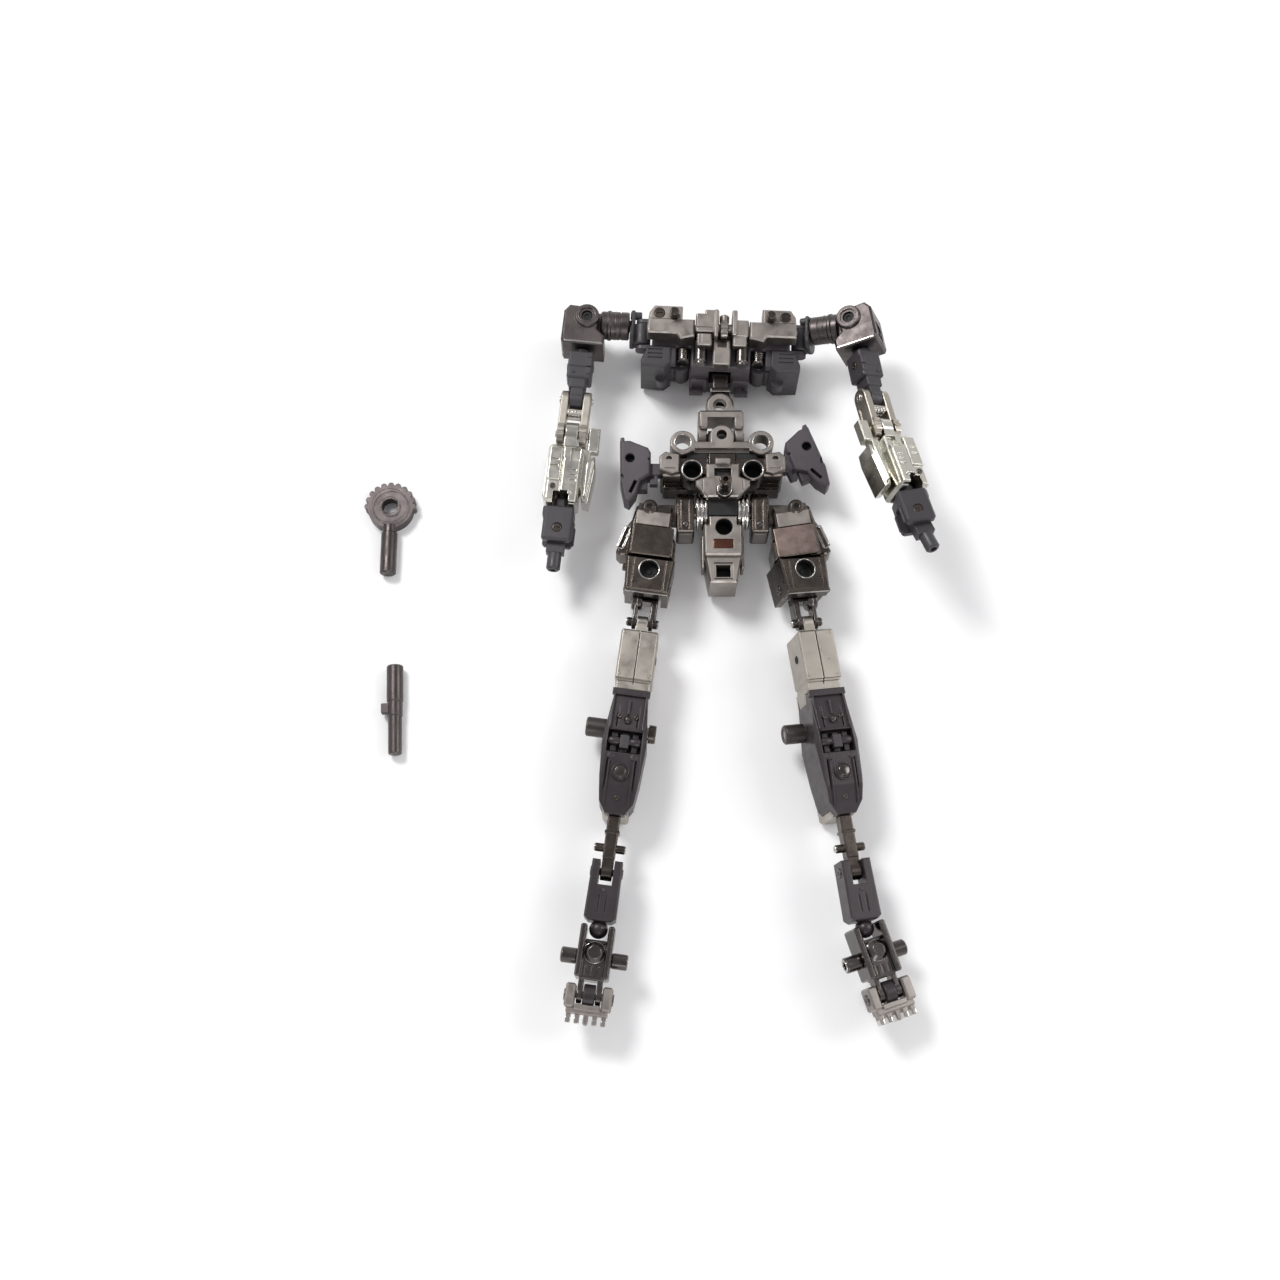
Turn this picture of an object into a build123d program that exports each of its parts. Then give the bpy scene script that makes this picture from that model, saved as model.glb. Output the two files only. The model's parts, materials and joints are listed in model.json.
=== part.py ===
"""Metal inner frame of a small humanoid robot kit, lying on its back, with two loose kit pieces.

+Z points up out of the robot's chest, +Y towards its head, and +X to its own left.
Every limb is drawn straight down (-Y) from its first joint, with +X outwards, and
mirrored for the robot's right side. Joint angles then set the pose it lies in.
"""
from build123d import *
import os

# Fits and edges
RUN = 0.05          # radial clearance of a pin in its bore
GAP = 0.25          # clearance between faces that turn past each other
EDGE = 0.3          # chamfer on the edges of the metal pieces

# Heights above the table
CORE_Z = 9.0        # hip and leg axes
ARM_Z = 11.0        # shoulder axes

# Torso
WAIST_Y = 48.4      # pin that carries the waist bracket
EYE_Y = 56.0        # centre of the bracket's eye
BAR_FOOT_Y = 59.4   # seat of the spine bar on the eye
CHEST_Y = 67.0      # pivot of the chest on the spine bar
WAIST_Z = 8.1           # height of the waist pin
CHEST_Z = 10.0          # height of the chest pivot
SOCKET = (19.3, 6.5)    # shoulder socket from the chest pivot
CHEST_LEAN = -2.6       # sideways lean of the chest, in degrees
NECK = (0.0, 6.2, 7.2)  # neck pin from the chest pivot

# Arm
SPIGOT_UP = 2.5         # shoulder axle above the socket
DRUM_LENGTH = 7.2
BOSS_OUT = 10.5         # arm-raising pin from the drum's inner end
SHOULDER_DROP = 7.2     # boss to the underside of the shoulder block
UPPER_ARM = 13.4        # underside of the block to the upper elbow pin
ELBOW_LINK = 9.0        # between the two elbow pins
FOREARM = 16.5          # lower elbow pin to the wrist
HAND_PIN = 8.5          # wrist to the hand peg's pin

# Pelvis and leg
HIP = (6.2, 29.0)       # inner end of the hip axle
HIP_OUT = 9.1           # hip axle end to the leg-spreading pin
THIGH_TOP = 12.2        # leg-spreading pin to the thigh's swivel seam
THIGH_LOW = 6.4         # seam to the upper knee pin
KNEE_LINK = 8.3         # between the two knee pins
SHIN = 59.0             # lower knee pin to the ankle pin
SHIN_BACK = -8.5        # back of the shin core behind the leg axis, just clear of the table
FORK = 12.8             # ankle pin to the foot ball
FOOT = 14.6             # foot ball to the toe pin
KNEE_BEND = 62          # most that each of the two knee pins turns, in degrees
ELBOW_BEND = 68         # most that each of the two elbow pins turns, in degrees

# Loose pieces, each placed by its own centre
DISC_R = 5.5
DISC_THICK = 3.0
DISC_PLACE = Location((-80.0, 32.9, 0))
PIN_PLACE = Location((-76.8, -19.2, 0), (0, 0, 2.4))
LIFT = 60.0             # clear height that a loose piece is lifted through

# Pose, in degrees from the straight limb, for the robot's right (-1) and left (+1)
POSE = {
    -1: dict(swing=0, turn=0, raise_=3.3, twist=0, elbow=0, wrist=0, hand=0,
             spread=7.8, thigh=0, knee=0, ankle=0, roll=0, toe=0, skirt=0),
    1: dict(swing=22, turn=0, raise_=12, twist=48, elbow=5, wrist=-20, hand=8,
            spread=8.7, thigh=12, knee=0, ankle=0, roll=10, toe=0, skirt=22),
}
SIDE_NAME = {-1: "right", 1: "left"}

pieces = {}
bodies = {}
joints = []


# ---------------------------------------------------------------- shapes

def block(x, y, z, edge=EDGE):
    """Box between the limits in x, y and z, each a pair, with chamfered edges."""
    spans = [limits[1] - limits[0] for limits in (x, y, z)]
    solid = Pos(sum(x) / 2, sum(y) / 2, sum(z) / 2) * Box(*spans)
    return chamfer(solid.edges(), edge) if edge else solid


def rod_x(radius, x, y=0.0, z=0.0, edge=0.0):
    """Round bar along X between the limits x."""
    solid = Pos(sum(x) / 2, y, z) * Rot(0, 90, 0) * Cylinder(radius, x[1] - x[0])
    return chamfer(solid.edges().filter_by(GeomType.CIRCLE), edge) if edge else solid


def rod_y(radius, y, x=0.0, z=0.0, edge=0.0):
    """Round bar along Y between the limits y."""
    solid = Pos(x, sum(y) / 2, z) * Rot(90, 0, 0) * Cylinder(radius, y[1] - y[0])
    return chamfer(solid.edges().filter_by(GeomType.CIRCLE), edge) if edge else solid


def rod_z(radius, z, x=0.0, y=0.0, edge=0.0):
    """Round bar along Z between the limits z."""
    solid = Pos(x, y, sum(z) / 2) * Cylinder(radius, z[1] - z[0])
    return chamfer(solid.edges().filter_by(GeomType.CIRCLE), edge) if edge else solid


def plate(points, z, edge=0.0):
    """Flat plate with a polygon outline in XY between the heights z."""
    face = make_face(Polyline(*points, close=True))
    solid = Pos(0, 0, z[0]) * extrude(face, amount=z[1] - z[0], dir=(0, 0, 1))
    return chamfer(solid.faces().sort_by(Axis.Z)[-1].edges(), edge) if edge else solid


def cheek(points, x, edge=0.0):
    """Plate with a polygon outline in YZ between the limits x."""
    face = Plane.YZ * make_face(Polyline(*points, close=True))
    solid = Pos(x[0], 0, 0) * extrude(face, amount=x[1] - x[0], dir=(1, 0, 0))
    return chamfer(solid.edges(), edge) if edge else solid


def both_sides(solid):
    """The solid and its mirror image across the YZ plane."""
    return solid + mirror(solid, about=Plane.YZ)


def repeated(places, solid):
    """Copies of a solid at each of the places, joined as one."""
    copies = [place * solid for place in places]
    return copies[0].fuse(*copies[1:]) if len(copies) > 1 else copies[0]


class Body:
    """Pieces that move as one, drawn in their own frame and set in the kit by a location."""

    def __init__(self, name, place, side=1):
        self.name = name
        self.place = place
        self.side = side
        self.nodes = []
        bodies[name] = self

    def add(self, node, solid):
        """Place a piece; pieces of the right side are drawn mirrored."""
        own = solid if self.side > 0 else mirror(solid, about=Plane.YZ)
        pieces[node] = self.place * own
        self.nodes.append(node)

    def joined(self, name, joint, at, axis, limits, rest=0.0, side=None):
        """A body hinged to this one at a point, turned by its rest angle about the axis."""
        side = side or self.side
        turn = (axis[0], side * axis[1], side * axis[2])
        seat = self.place * Pos(side * at[0], at[1], at[2])
        child = Body(name, seat * Rot(*(rest * part for part in turn)), side)
        joints.append(dict(name=joint, type="hinge", parent=self.name, child=name,
                           at=seat.position, axis=(seat * Pos(*turn)).position - seat.position,
                           limits=(limits[0] - rest, limits[1] - rest)))
        return child


# ---------------------------------------------------------------- pelvis

def pelvis_frame():
    """Dark casting behind the plates: belt, hip bearings and the two round front sockets."""
    belt = block((-14.6, 14.6), (36.8, 41.7), (1.0, 13.0), 0.5)
    spine = block((-3.4, 3.4), (26.4, 42.6), (0.0, 13.5), 0.4)
    sockets = both_sides(rod_z(2.75, (9.0, 15.4), 7.2, 37.4, 0.2))
    step = both_sides(block((8.0, 14.0), (35.4, 37.5), (1.5, 8.0)))
    hole = both_sides(rod_z(2.2, (10.5, 16.0), 7.2, 37.4))
    waist_slot = block((-3.3, 3.3), (40.4, 43.0), (5.0, 13.0), 0)
    hip_bore = rod_x(1.6 + RUN, (-7.0, 7.0), HIP[1], CORE_Z)
    skirt_bore = both_sides(rod_z(1.0 + RUN, (5.0, 14.0), 13.3, 39.5))
    skirt_slot = both_sides(block((11.4, 15.0), (37.2, 42.0), (7.5, 10.9), 0))
    return belt + spine + sockets + step - hole - waist_slot - hip_bore - skirt_bore - skirt_slot


def waist_crossbar():
    """Light front bar with an open lug at each end and the arched tongue in its middle."""
    bar = block((-8.6, 8.6), (42.7, 45.2), (10.2, 14.2))
    lugs = both_sides(rod_z(3.05, (9.2, 14.2), 9.3, 44.9, 0.25))
    tongue = block((-2.85, 2.85), (44.0, 46.6), (11.6, 14.2), 0) + rod_z(2.85, (11.6, 14.2), 0, 46.6)
    tongue = chamfer(tongue.faces().sort_by(Axis.Z)[-1].edges(), EDGE)
    holes = both_sides(rod_z(1.9, (8.0, 15.0), 9.3, 44.9)) + rod_z(1.25, (11.0, 15.0), 0, 46.9)
    slot = block((-6.5, 6.5), (42.0, 43.4), (13.0, 15.0), 0)
    return bar + lugs + tongue - holes - slot


def waist_yoke():
    """Dark arched block behind the tongue, with the cross pin that carries the bracket."""
    arch = block((-3.0, 3.0), (42.7, WAIST_Y), (6.2, 10.0), 0) + rod_x(1.9, (-3.0, 3.0), WAIST_Y, WAIST_Z)
    foot = block((-3.0, 3.0), (40.6, 43.0), (5.2, 10.0), 0)
    return arch + foot + rod_x(1.3, (-5.6, 5.6), WAIST_Y, WAIST_Z, 0.2)


def pelvis_shield():
    """Light front plate: raised top block over a slot, shoulders, and a narrowing skirt."""
    outline = [(-3.9, 38.9), (3.9, 38.9), (3.9, 35.6), (6.4, 34.6), (6.4, 33.2), (3.6, 30.4),
               (-3.6, 30.4), (-6.4, 33.2), (-6.4, 34.6), (-3.9, 35.6)]
    face = plate(outline, (13.5, 15.8), 0.4)
    cap = block((-1.8, 1.8), (38.2, 39.9), (13.5, 16.8))
    slot = block((-2.0, 2.0), (35.6, 37.6), (14.4, 17.0), 0)
    grooves = both_sides(block((4.6, 4.9), (31.0, 35.0), (15.5, 17.0), 0))
    peg_seat = rod_z(1.9, (15.0, 17.0), 0.3, 31.9)
    return face + cap - slot - grooves - peg_seat


def front_peg():
    """Peg on a collar that stands out of the shield, with a hexagon socket in its end."""
    stem = rod_z(1.45, (15.0, 23.0), edge=0.25) + rod_z(1.85, (15.0, 16.6), edge=0.2)
    socket = Pos(0, 0, 21.2) * extrude(RegularPolygon(0.75, 6), 2.5)
    return Pos(0.3, 31.9, 0) * (stem - socket)


def side_plates():
    """Light plates over the ends of the belt, each with a small notch."""
    outline = [(10.2, 41.6), (13.6, 42.2), (14.9, 41.0), (14.9, 37.8), (12.0, 36.7), (10.2, 37.2),
               (10.2, 40.2)]
    face = plate(outline, (13.0, 15.0), EDGE)
    notch = rod_z(0.75, (14.2, 16.0), 12.6, 40.3) - block((10, 14), (39.0, 40.2), (14, 16), 0)
    rib = block((11.0, 13.9), (37.7, 38.1), (14.75, 15.5), 0)
    return both_sides(face - notch - rib)


def crotch_block():
    """Light lower block: dark gap on top, round hole, window pocket and square socket."""
    upper = block((-4.6, 4.6), (16.6, 24.4), (3.0, 13.8), 0.5)
    upper += block((-3.3, 3.3), (23.0, 26.4), (1.0, 13.8), 0.3)
    lower = plate([(-4.4, 17.0), (4.4, 17.0), (3.2, 10.2), (-3.2, 10.2)], (2.0, 12.6), 0.5)
    hole = rod_z(2.1, (8.0, 15.0), 0.2, 23.6)
    window = block((-2.4, 2.4), (18.2, 20.6), (13.3, 15.0), 0)
    socket = block((-1.7, 1.7), (11.6, 14.6), (7.0, 14.0), 0)
    frame = block((-2.3, 2.3), (11.0, 15.2), (12.3, 14.0), 0)
    sides = both_sides(block((4.3, 5.0), (14.5, 22.5), (5.0, 10.5), 0.2))
    return upper + lower + sides - hole - window - socket - frame


def hip_rings():
    """Ribbed bright bearing rings on the hip axle."""
    ring = rod_x(3.6, (3.4, 6.3), HIP[1], CORE_Z)
    for start in (3.5, 4.5, 5.5):
        ring += rod_x(4.4, (start, start + 0.7), HIP[1], CORE_Z, 0.15)
    return both_sides(ring - rod_x(1.6 + RUN, (3.0, 8.0), HIP[1], CORE_Z))


def skirt():
    """Flat matte side skirt on a pivot tongue; the outline is relative to the pivot."""
    outline = [(11.0, 7.0), (8.6, 7.0), (4.3, 5.2), (3.6, 3.9), (3.6, -1.7), (6.2, -3.3),
               (7.2, -6.8), (8.8, -9.1), (10.0, -8.4), (10.9, -3.8)]
    wing = plate(outline, (-2.4, 2.6), 0.5)
    hole = rod_z(1.2, (0.5, 4.0), 8.6, 2.4)
    slot = Pos(7.9, -4.9, 2.0) * Rot(0, 0, 24) * Box(0.9, 3.4, 3.0)
    scallop = Pos(11.2, -2.6, 2.4) * Rot(0, 0, -20) * Box(2.2, 1.3, 1.6)
    step = Pos(3.9, 2.2, 2.4) * Box(0.9, 0.5, 1.4)
    bridge = block((1.2, 4.0), (-1.5, 1.5), (-1.3, 1.3), 0.2)
    knuckle = rod_z(1.7, (-1.3, 1.3))
    strut = block((2.0, 3.9), (-3.9, -2.3), (-1.0, 1.0), 0.2) + block((2.0, 2.8), (-3.6, 0), (-1.0, 1.0), 0)
    return wing + bridge + knuckle + strut + rod_z(1.0, (-3.5, 3.6)) - hole - slot - scallop - step


# ---------------------------------------------------------------- torso

def waist_bracket():
    """U bracket that hangs on the waist pin, with the open eye above it."""
    frame = block((-5.5, 5.5), (1.2, 6.0), (-3.0, 3.9), 0.6)
    arms = both_sides(block((3.4, 5.4), (0.0, 2.4), (-2.6, 2.6), 0) + rod_x(2.6, (3.4, 5.4), 0, 0, 0.25))
    window = block((-3.3, 3.3), (-2.0, 4.0), (-4.0, 5.0), 0)
    eye = rod_z(3.4, (-2.4, 3.0), -0.2, EYE_Y - WAIST_Y, 0.5) - rod_z(1.65, (-4, 5), -0.2, EYE_Y - WAIST_Y)
    pin = rod_x(1.3 + RUN, (-7, 7))
    recess = both_sides(rod_x(1.9, (5.1, 6.0)))
    seat = rod_y(1.1 + RUN, (8.6, 12.0))
    return frame + arms + eye - window - pin - recess - seat


def spine_bar():
    """Dark tapered bar that swivels on the eye and reaches up into the chest."""
    height = CHEST_Y - BAR_FOOT_Y
    bar = cheek([(0.9, -2.3), (0.9, 2.6), (height + 1.5, 3.2), (height + 1.5, -1.6)], (-1.9, 1.9), 0.25)
    collar = block((-2.5, 2.5), (GAP, 1.3), (-2.6, 2.8), 0.2)
    knuckle = rod_z(2.2, (-1.6, 2.4), 0, height)
    return bar + collar + knuckle + rod_y(1.1, (-0.6, 1.0)) - rod_z(0.9 + RUN, (-4, 5), 0, height)


def chest_core():
    """Dark chest casting with the pivot housing, side arms and lower corner blocks."""
    centre = block((-7.2, 7.2), (-2.6, 8.6), (-10.0, 4.2), 0.4)
    arms = both_sides(block((6.5, 16.6), (2.4, 9.4), (-8.0, 4.0), 0.5))
    lower = both_sides(block((2.9, 7.0), (-3.6, -1.0), (-8.5, -1.5), 0.3))
    hook = both_sides(block((3.8, 5.6), (-5.1, -3.4), (-7.0, -5.0), 0.2)
                      + block((5.0, 7.2), (-5.1, -4.0), (-7.0, -5.0), 0.2))
    socket_z = ARM_Z - CHEST_Z
    ear = rod_y(1.5, (2.5, 3.5), SOCKET[0], socket_z) + block((16.0, SOCKET[0]), (2.5, 3.5), (-0.5, 2.5), 0)
    ears = both_sides(ear + Pos(0, 7.0, 0) * ear)
    post = both_sides(block((15.9, 16.8), (2.5, 10.5), (-0.5, 2.5), 0))
    pin = both_sides(rod_y(1.1, (2.6, 10.4), SOCKET[0], socket_z))
    bar_slot = block((-2.7, 2.7), (-4.0, 3.2), (-4.6, 1.8), 0)
    return centre + arms + lower + hook + ears + post + pin - bar_slot + rod_z(0.9, (-6.0, 3.0))


def chest_plate():
    """Light shoulder plate with a raised outer shelf, for the left half of the chest."""
    outline = [(6.6, 3.2), (10.0, 2.4), (10.9, 3.7), (17.9, 3.7), (18.1, 5.0), (17.6, 9.2),
               (16.4, 11.0), (9.6, 11.0), (9.6, 7.6), (6.6, 7.6)]
    top = plate(outline, (5.0, 9.0), 0.4)
    shelf = block((7.3, 16.5), (4.2, 7.4), (4.0, 6.0), 0)
    seam = block((9.7, 17.6), (7.35, 7.5), (8.8, 9.5), 0)
    holes = rod_z(1.4, (7.0, 10.0), 15.2, 8.9) + rod_z(1.15, (7.0, 10.0), 11.6, 8.4)
    return top + shelf - holes - seam


def chest_screws():
    """Round screw and standing peg of each shoulder plate."""
    screw = rod_z(1.35, (7.0, 9.1), 15.2, 8.9, 0.15) - block((14.2, 16.2), (8.75, 9.05), (8.8, 9.5), 0)
    peg = rod_z(1.1, (7.0, 11.4), 11.6, 8.4, 0.2)
    return both_sides(screw + peg)


def chest_box():
    """Dark intake box below the shoulder plate, with its piston, disc and hook."""
    side = [(12.0, 2.3), (17.8, 2.3), (19.2, -1.4), (19.2, -3.0), (13.6, -3.4), (12.0, -2.0)]
    box = plate(side, (-8.5, 4.9), 0.4)
    slots = Pos(15.8, 0.2, 4.9) * repeated(GridLocations(0, 1.1, 1, 3), Box(3.6, 0.35, 0.5))
    hook = rod_z(1.5, (-4.0, -1.0), 14.2, -3.2)
    strip = block((10.8, 12.4), (-2.0, 2.3), (2.0, 4.4), 0.2)
    disc = rod_z(2.0, (-6.0, 1.0), 9.4, -0.6, 0.25)
    web = block((8.0, 12.2), (-1.6, 2.3), (-7.0, 0.0), 0.2)
    return box + hook + strip + disc + web - slots


def chest_pistons():
    """Bright cylinders under the collar on both sides of the spine."""
    outer = rod_y(1.7, (-1.0, 2.2), 9.0, 3.0, 0.25)
    inner = rod_y(1.65, (-2.4, 3.6), 5.0, 5.9, 0.3) + rod_y(1.3, (-2.9, -2.3), 5.0, 5.9)
    return both_sides(outer + inner)


def collar_block():
    """Light stepped block behind the neck, split by a groove for the neck post."""
    right = block((-6.4, -0.8), (4.2, 9.0), (4.2, 9.6)) + block((-4.2, -0.8), (4.2, 10.6), (4.2, 8.6))
    left = block((2.3, 6.4), (3.6, 8.0), (4.2, 8.8)) + block((2.3, 3.6), (3.6, 10.2), (4.2, 9.6))
    lip = block((-6.0, -2.4), (0.8, 4.0), (5.8, 9.2)) + block((2.6, 6.0), (1.2, 4.0), (5.8, 8.6))
    ridge = block((-1.9, -1.0), (2.6, 9.8), (8.0, 10.4), 0.2)
    bridge = block((-2.6, 3.0), (6.4, 8.6), (4.2, 5.0), 0)
    lines = block((-6.5, -2.2), (5.2, 5.4), (9.4, 10), 0) + block((-5.4, -4.8), (1.5, 3.8), (9.0, 9.5), 0)
    piston_room = both_sides(rod_y(1.7, (-3.0, 3.7), 5.0, 5.9))
    neck_bore = rod_x(0.55 + RUN, (-2.0, 3.2), NECK[1], NECK[2])
    return right + left + lip + ridge + bridge - lines - piston_room - neck_bore


def spine_plate():
    """Light plate over the spine with a dark keyhole at its top."""
    face = block((-2.0, 2.2), (-3.2, 3.2), (4.6, 7.4))
    wings = block((-0.7, 1.9), (3.0, 3.9), (4.6, 5.6), 0)
    keyhole = block((-1.0, 1.3), (1.2, 3.6), (6.0, 8.0), 0)
    return face + wings - keyhole


def neck_post():
    """Stepped neck post with three lobes, hinged across the collar groove."""
    lobes = rod_x(1.5, (-0.5, 1.5), 0, 0, 0.2) + rod_x(1.15, (-0.4, 1.4), -2.0, 1.4, 0.2)
    stem = block((-0.4, 1.4), (-2.4, 2.6), (-0.9, 0.9), 0.2)
    head = rod_y(1.15, (1.4, 3.4), 0.5, 0, 0.3)
    return lobes + stem + head + rod_x(0.55, (-1.6, 2.9))


# ---------------------------------------------------------------- arm

def shoulder_joint():
    """Swing bracket: barrel on the socket pin, washer, upper stub and the shoulder axle."""
    barrel = rod_y(2.1, (-2.75, 2.75), edge=0.3)
    washer = rod_x(2.9, (2.0, 3.0), -0.3, 0, 0.15)
    link = block((1.8, 2.8), (-2.6, 6.0), (-2.2, 2.2), 0.3)
    neck = block((0.0, 2.0), (-2.6, 2.6), (-1.4, 1.4), 0)
    stub = rod_x(1.0, (0.2, 3.0), 5.2, 0.4, 0.2)
    axle = rod_x(1.5, (2.4, 8.0), SPIGOT_UP, 0, 0.2)
    return barrel + washer + link + neck + stub + axle - rod_y(1.1 + RUN, (-4, 4))


def shoulder_drum():
    """Drum that turns on the shoulder axle and ends in a tongue for the arm-raising pin."""
    drum = rod_x(3.4, (0.25, DRUM_LENGTH), edge=0.3) + rod_x(3.65, (4.6, 5.6), edge=0.2)
    tongue = block((DRUM_LENGTH - 1.5, BOSS_OUT), (-2.4, 2.4), (-1.5, 1.5), 0)
    tongue += rod_z(2.4, (-1.5, 1.5), BOSS_OUT)
    bore = rod_x(1.5 + RUN, (-1.0, 5.6)) + rod_z(1.3 + RUN, (-3, 3), BOSS_OUT)
    seam = rod_x(3.5, (2.2, 2.5)) - rod_x(3.2, (2.0, 2.7))
    return drum + tongue - bore - seam


def shoulder_block():
    """Squared shoulder casting around the arm-raising pin, with a round bolt boss in front."""
    outline = [(-2.6, 2.6), (4.4, 2.9), (5.7, 1.2), (5.7, -SHOULDER_DROP + 0.8), (5.2, -SHOULDER_DROP),
               (-4.7, -SHOULDER_DROP), (-4.7, -4.6), (-4.0, -4.0), (-2.6, -2.9)]
    body = plate(outline, (-5.0, 4.6), 0.5)
    corner = block((-3.0, -1.5), (1.5, 3.0), (-6, 6), 0) - rod_z(2.9, (-6, 6))
    boss = rod_z(2.95, (3.6, 5.4), edge=0.3)
    slot = block((-6.0, 2.75), (-3.1, 4.0), (-1.8, 1.8), 0)
    ring = rod_z(2.0, (5.0, 6.0)) + rod_z(1.35, (3.9, 6.0))
    foot_bore = rod_y(1.4 + RUN, (-9.0, -4.0), 0.4)
    panel = block((5.3, 6.0), (-5.9, -1.5), (-2.6, 2.6), 0)
    return body + boss - corner - slot - ring - foot_bore - panel + rod_z(1.3, (-2.2, 2.2))


def upper_arm():
    """Dark upper arm that twists under the shoulder block and carries the upper elbow pin."""
    main = block((-2.95, 2.95), (-8.4, -1.3), (-2.9, 2.9), 0.35)
    lower = block((-1.9, 2.2), (-10.85, -8.0), (-2.4, 2.4), 0.25)
    lip = block((-2.95, -1.6), (-7.4, -3.0), (2.0, 3.2), 0.2)
    collar = rod_y(2.1, (-1.6, -GAP), edge=0.2)
    tongue = block((-1.5, 1.5), (-UPPER_ARM, -9.0), (-2.1, 2.1), 0) + rod_x(2.3, (-1.5, 1.5), -UPPER_ARM)
    groove = block((-3.2, 3.2), (-5.6, -5.3), (2.8, 3.4), 0)
    spigot = rod_y(1.4, (-1.0, 2.6))
    return main + lower + lip + collar + tongue + spigot - rod_x(0.9 + RUN, (-4, 4), -UPPER_ARM) - groove


def gear_teeth(radius, width):
    """Row of square teeth over the upper and lower rim of an elbow gear."""
    return repeated(PolarLocations(radius, 14), Box(0.6, 0.55, width))


def elbow_link():
    """Clevis of two cheeks with both elbow pins; geared ends face the forearm."""
    end = -ELBOW_LINK
    cheek_bar = block((1.75, 3.6), (end, 0.0), (-2.3, 2.3), 0.2) + rod_x(2.3, (1.75, 3.6), 0, 0, 0.25)
    gear = Pos(2.7, end, 0) * Rot(0, 90, 0) * (Cylinder(3.0, 1.6) + gear_teeth(3.0, 1.6))
    web = block((-1.9, 1.9), (-4.3, -3.1), (-2.0, 2.0), 0)
    panel = block((3.35, 4.0), (-6.2, -2.6), (-1.3, 1.3), 0)
    pins = rod_x(0.9, (-3.8, 3.8), 0, 0, 0.15) + rod_x(0.9, (-3.8, 3.8), end, 0, 0.15)
    return both_sides(cheek_bar + gear - panel) + web + pins


def forearm():
    """Pale forearm: knuckle on the lower elbow pin, split shell, inner cover and flange."""
    knuckle = rod_x(3.0, (-1.5, 1.5), edge=0.15) + block((-1.5, 1.5), (-5.0, 0.0), (-2.6, 2.6), 0)
    shell = block((-3.4, 4.7), (-19.0, -4.2), (-4.0, 4.2), 0.7)
    hump = block((-3.2, 1.0), (-18.8, -7.6), (3.4, 5.0), 0.35)
    shoulder = block((1.2, 4.4), (-13.6, -5.2), (3.6, 4.8), 0.3)
    seam = block((0.95, 1.2), (-20, -4), (3.9, 6), 0)
    slots = Pos(-1.7, -12.2, 5.0) * repeated(GridLocations(0, 1.3, 1, 3), Box(1.5, 0.35, 0.6))
    marks = Pos(3.0, -9.2, 4.8) * repeated(GridLocations(0, 1.7, 1, 2), Box(2.0, 0.35, 0.6))
    pocket = block((-2.9, -0.6), (-8.6, -5.0), (3.4, 6), 0)
    opening = block((-1.35, 2.55), (-20, -FOREARM + 0.3), (-1.95, 6), 0)
    bore = rod_y(1.0 + RUN, (-FOREARM, -FOREARM + 4.0), 0.6)
    bore += rod_x(0.9 + RUN, (-4, 4))
    cover = plate([(-3.2, -7.4), (-6.2, -5.6), (-6.6, -9.0), (-5.8, -17.8), (-4.2, -17.4), (-3.2, -13.0)],
                  (-3.6, 1.6), 0.3)
    rib = plate([(-4.4, -7.6), (-6.0, -6.8), (-5.2, -16.4), (-4.4, -16.2)], (1.5, 2.4), 0.2)
    flange = block((-6.8, -4.05), (-4.4, 1.8), (-1.2, 1.4), 0.3)
    flange += block((-5.0, -3.0), (-7.8, -3.8), (-1.6, 1.4), 0.2)
    solid = knuckle + shell + hump + shoulder + cover + rib + flange
    return solid - seam - slots - marks - pocket - opening - bore


def wrist_block():
    """Dark wrist: square neck, then cheeks in front of and behind the hand peg's tongue."""
    neck = block((-1.55, 1.55), (-3.4, 0.0), (-1.55, 1.55), 0.7) + rod_y(1.0, (-0.5, 3.4))
    body = block((-3.5, 3.5), (-11.6, -2.9), (-3.4, 3.4), 0.5)
    step = block((-4.0, -2.0), (-11.0, -6.4), (-2.6, 2.0), 0.3)
    shelf = block((1.6, 3.9), (-5.4, -3.1), (-2.4, 2.6), 0.25)
    slot = block((-5.0, 5.0), (-12.0, -5.9), (-1.7, 1.7), 0)
    recess = rod_z(1.2, (2.9, 4.0), 0, -HAND_PIN)
    return neck + body + step + shelf - slot - recess + rod_z(0.9, (-2.4, 2.4), 0, -HAND_PIN)


def hand_peg():
    """Tongue on the wrist pin that ends in the round peg for a hand."""
    tongue = rod_z(2.1, (-1.4, 1.4)) + block((-2.1, 2.1), (-5.5, 0.0), (-1.4, 1.4), 0)
    peg = rod_y(1.65, (-9.6, -5.2), edge=0.4) - rod_y(0.8, (-10.0, -8.4))
    return tongue + peg - rod_z(0.9 + RUN, (-3, 3))


# ---------------------------------------------------------------- leg

def hip_box():
    """Dark hip block on its axle, rounded to clear the belt, with the tongue for the thigh."""
    body = rod_x(4.4, (0.5, 4.7), edge=0.3) + block((0.5, 4.7), (-6.4, 0.0), (-4.4, 4.4), 0.3)
    rib = block((1.3, 1.8), (-6.0, 1.5), (4.0, 4.7), 0.1) + block((3.2, 3.8), (-6.0, 1.5), (4.0, 4.7), 0.1)
    tongue = block((4.4, HIP_OUT), (-3.3, 1.3), (-1.5, 1.5), 0) + rod_z(2.3, (-1.5, 1.5), HIP_OUT, -1.0)
    axle = rod_x(1.6, (-4.4, 1.0), edge=0.2)
    return body + rib + tongue + axle - rod_z(1.2 + RUN, (-3, 3), HIP_OUT, -1.0)


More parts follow.
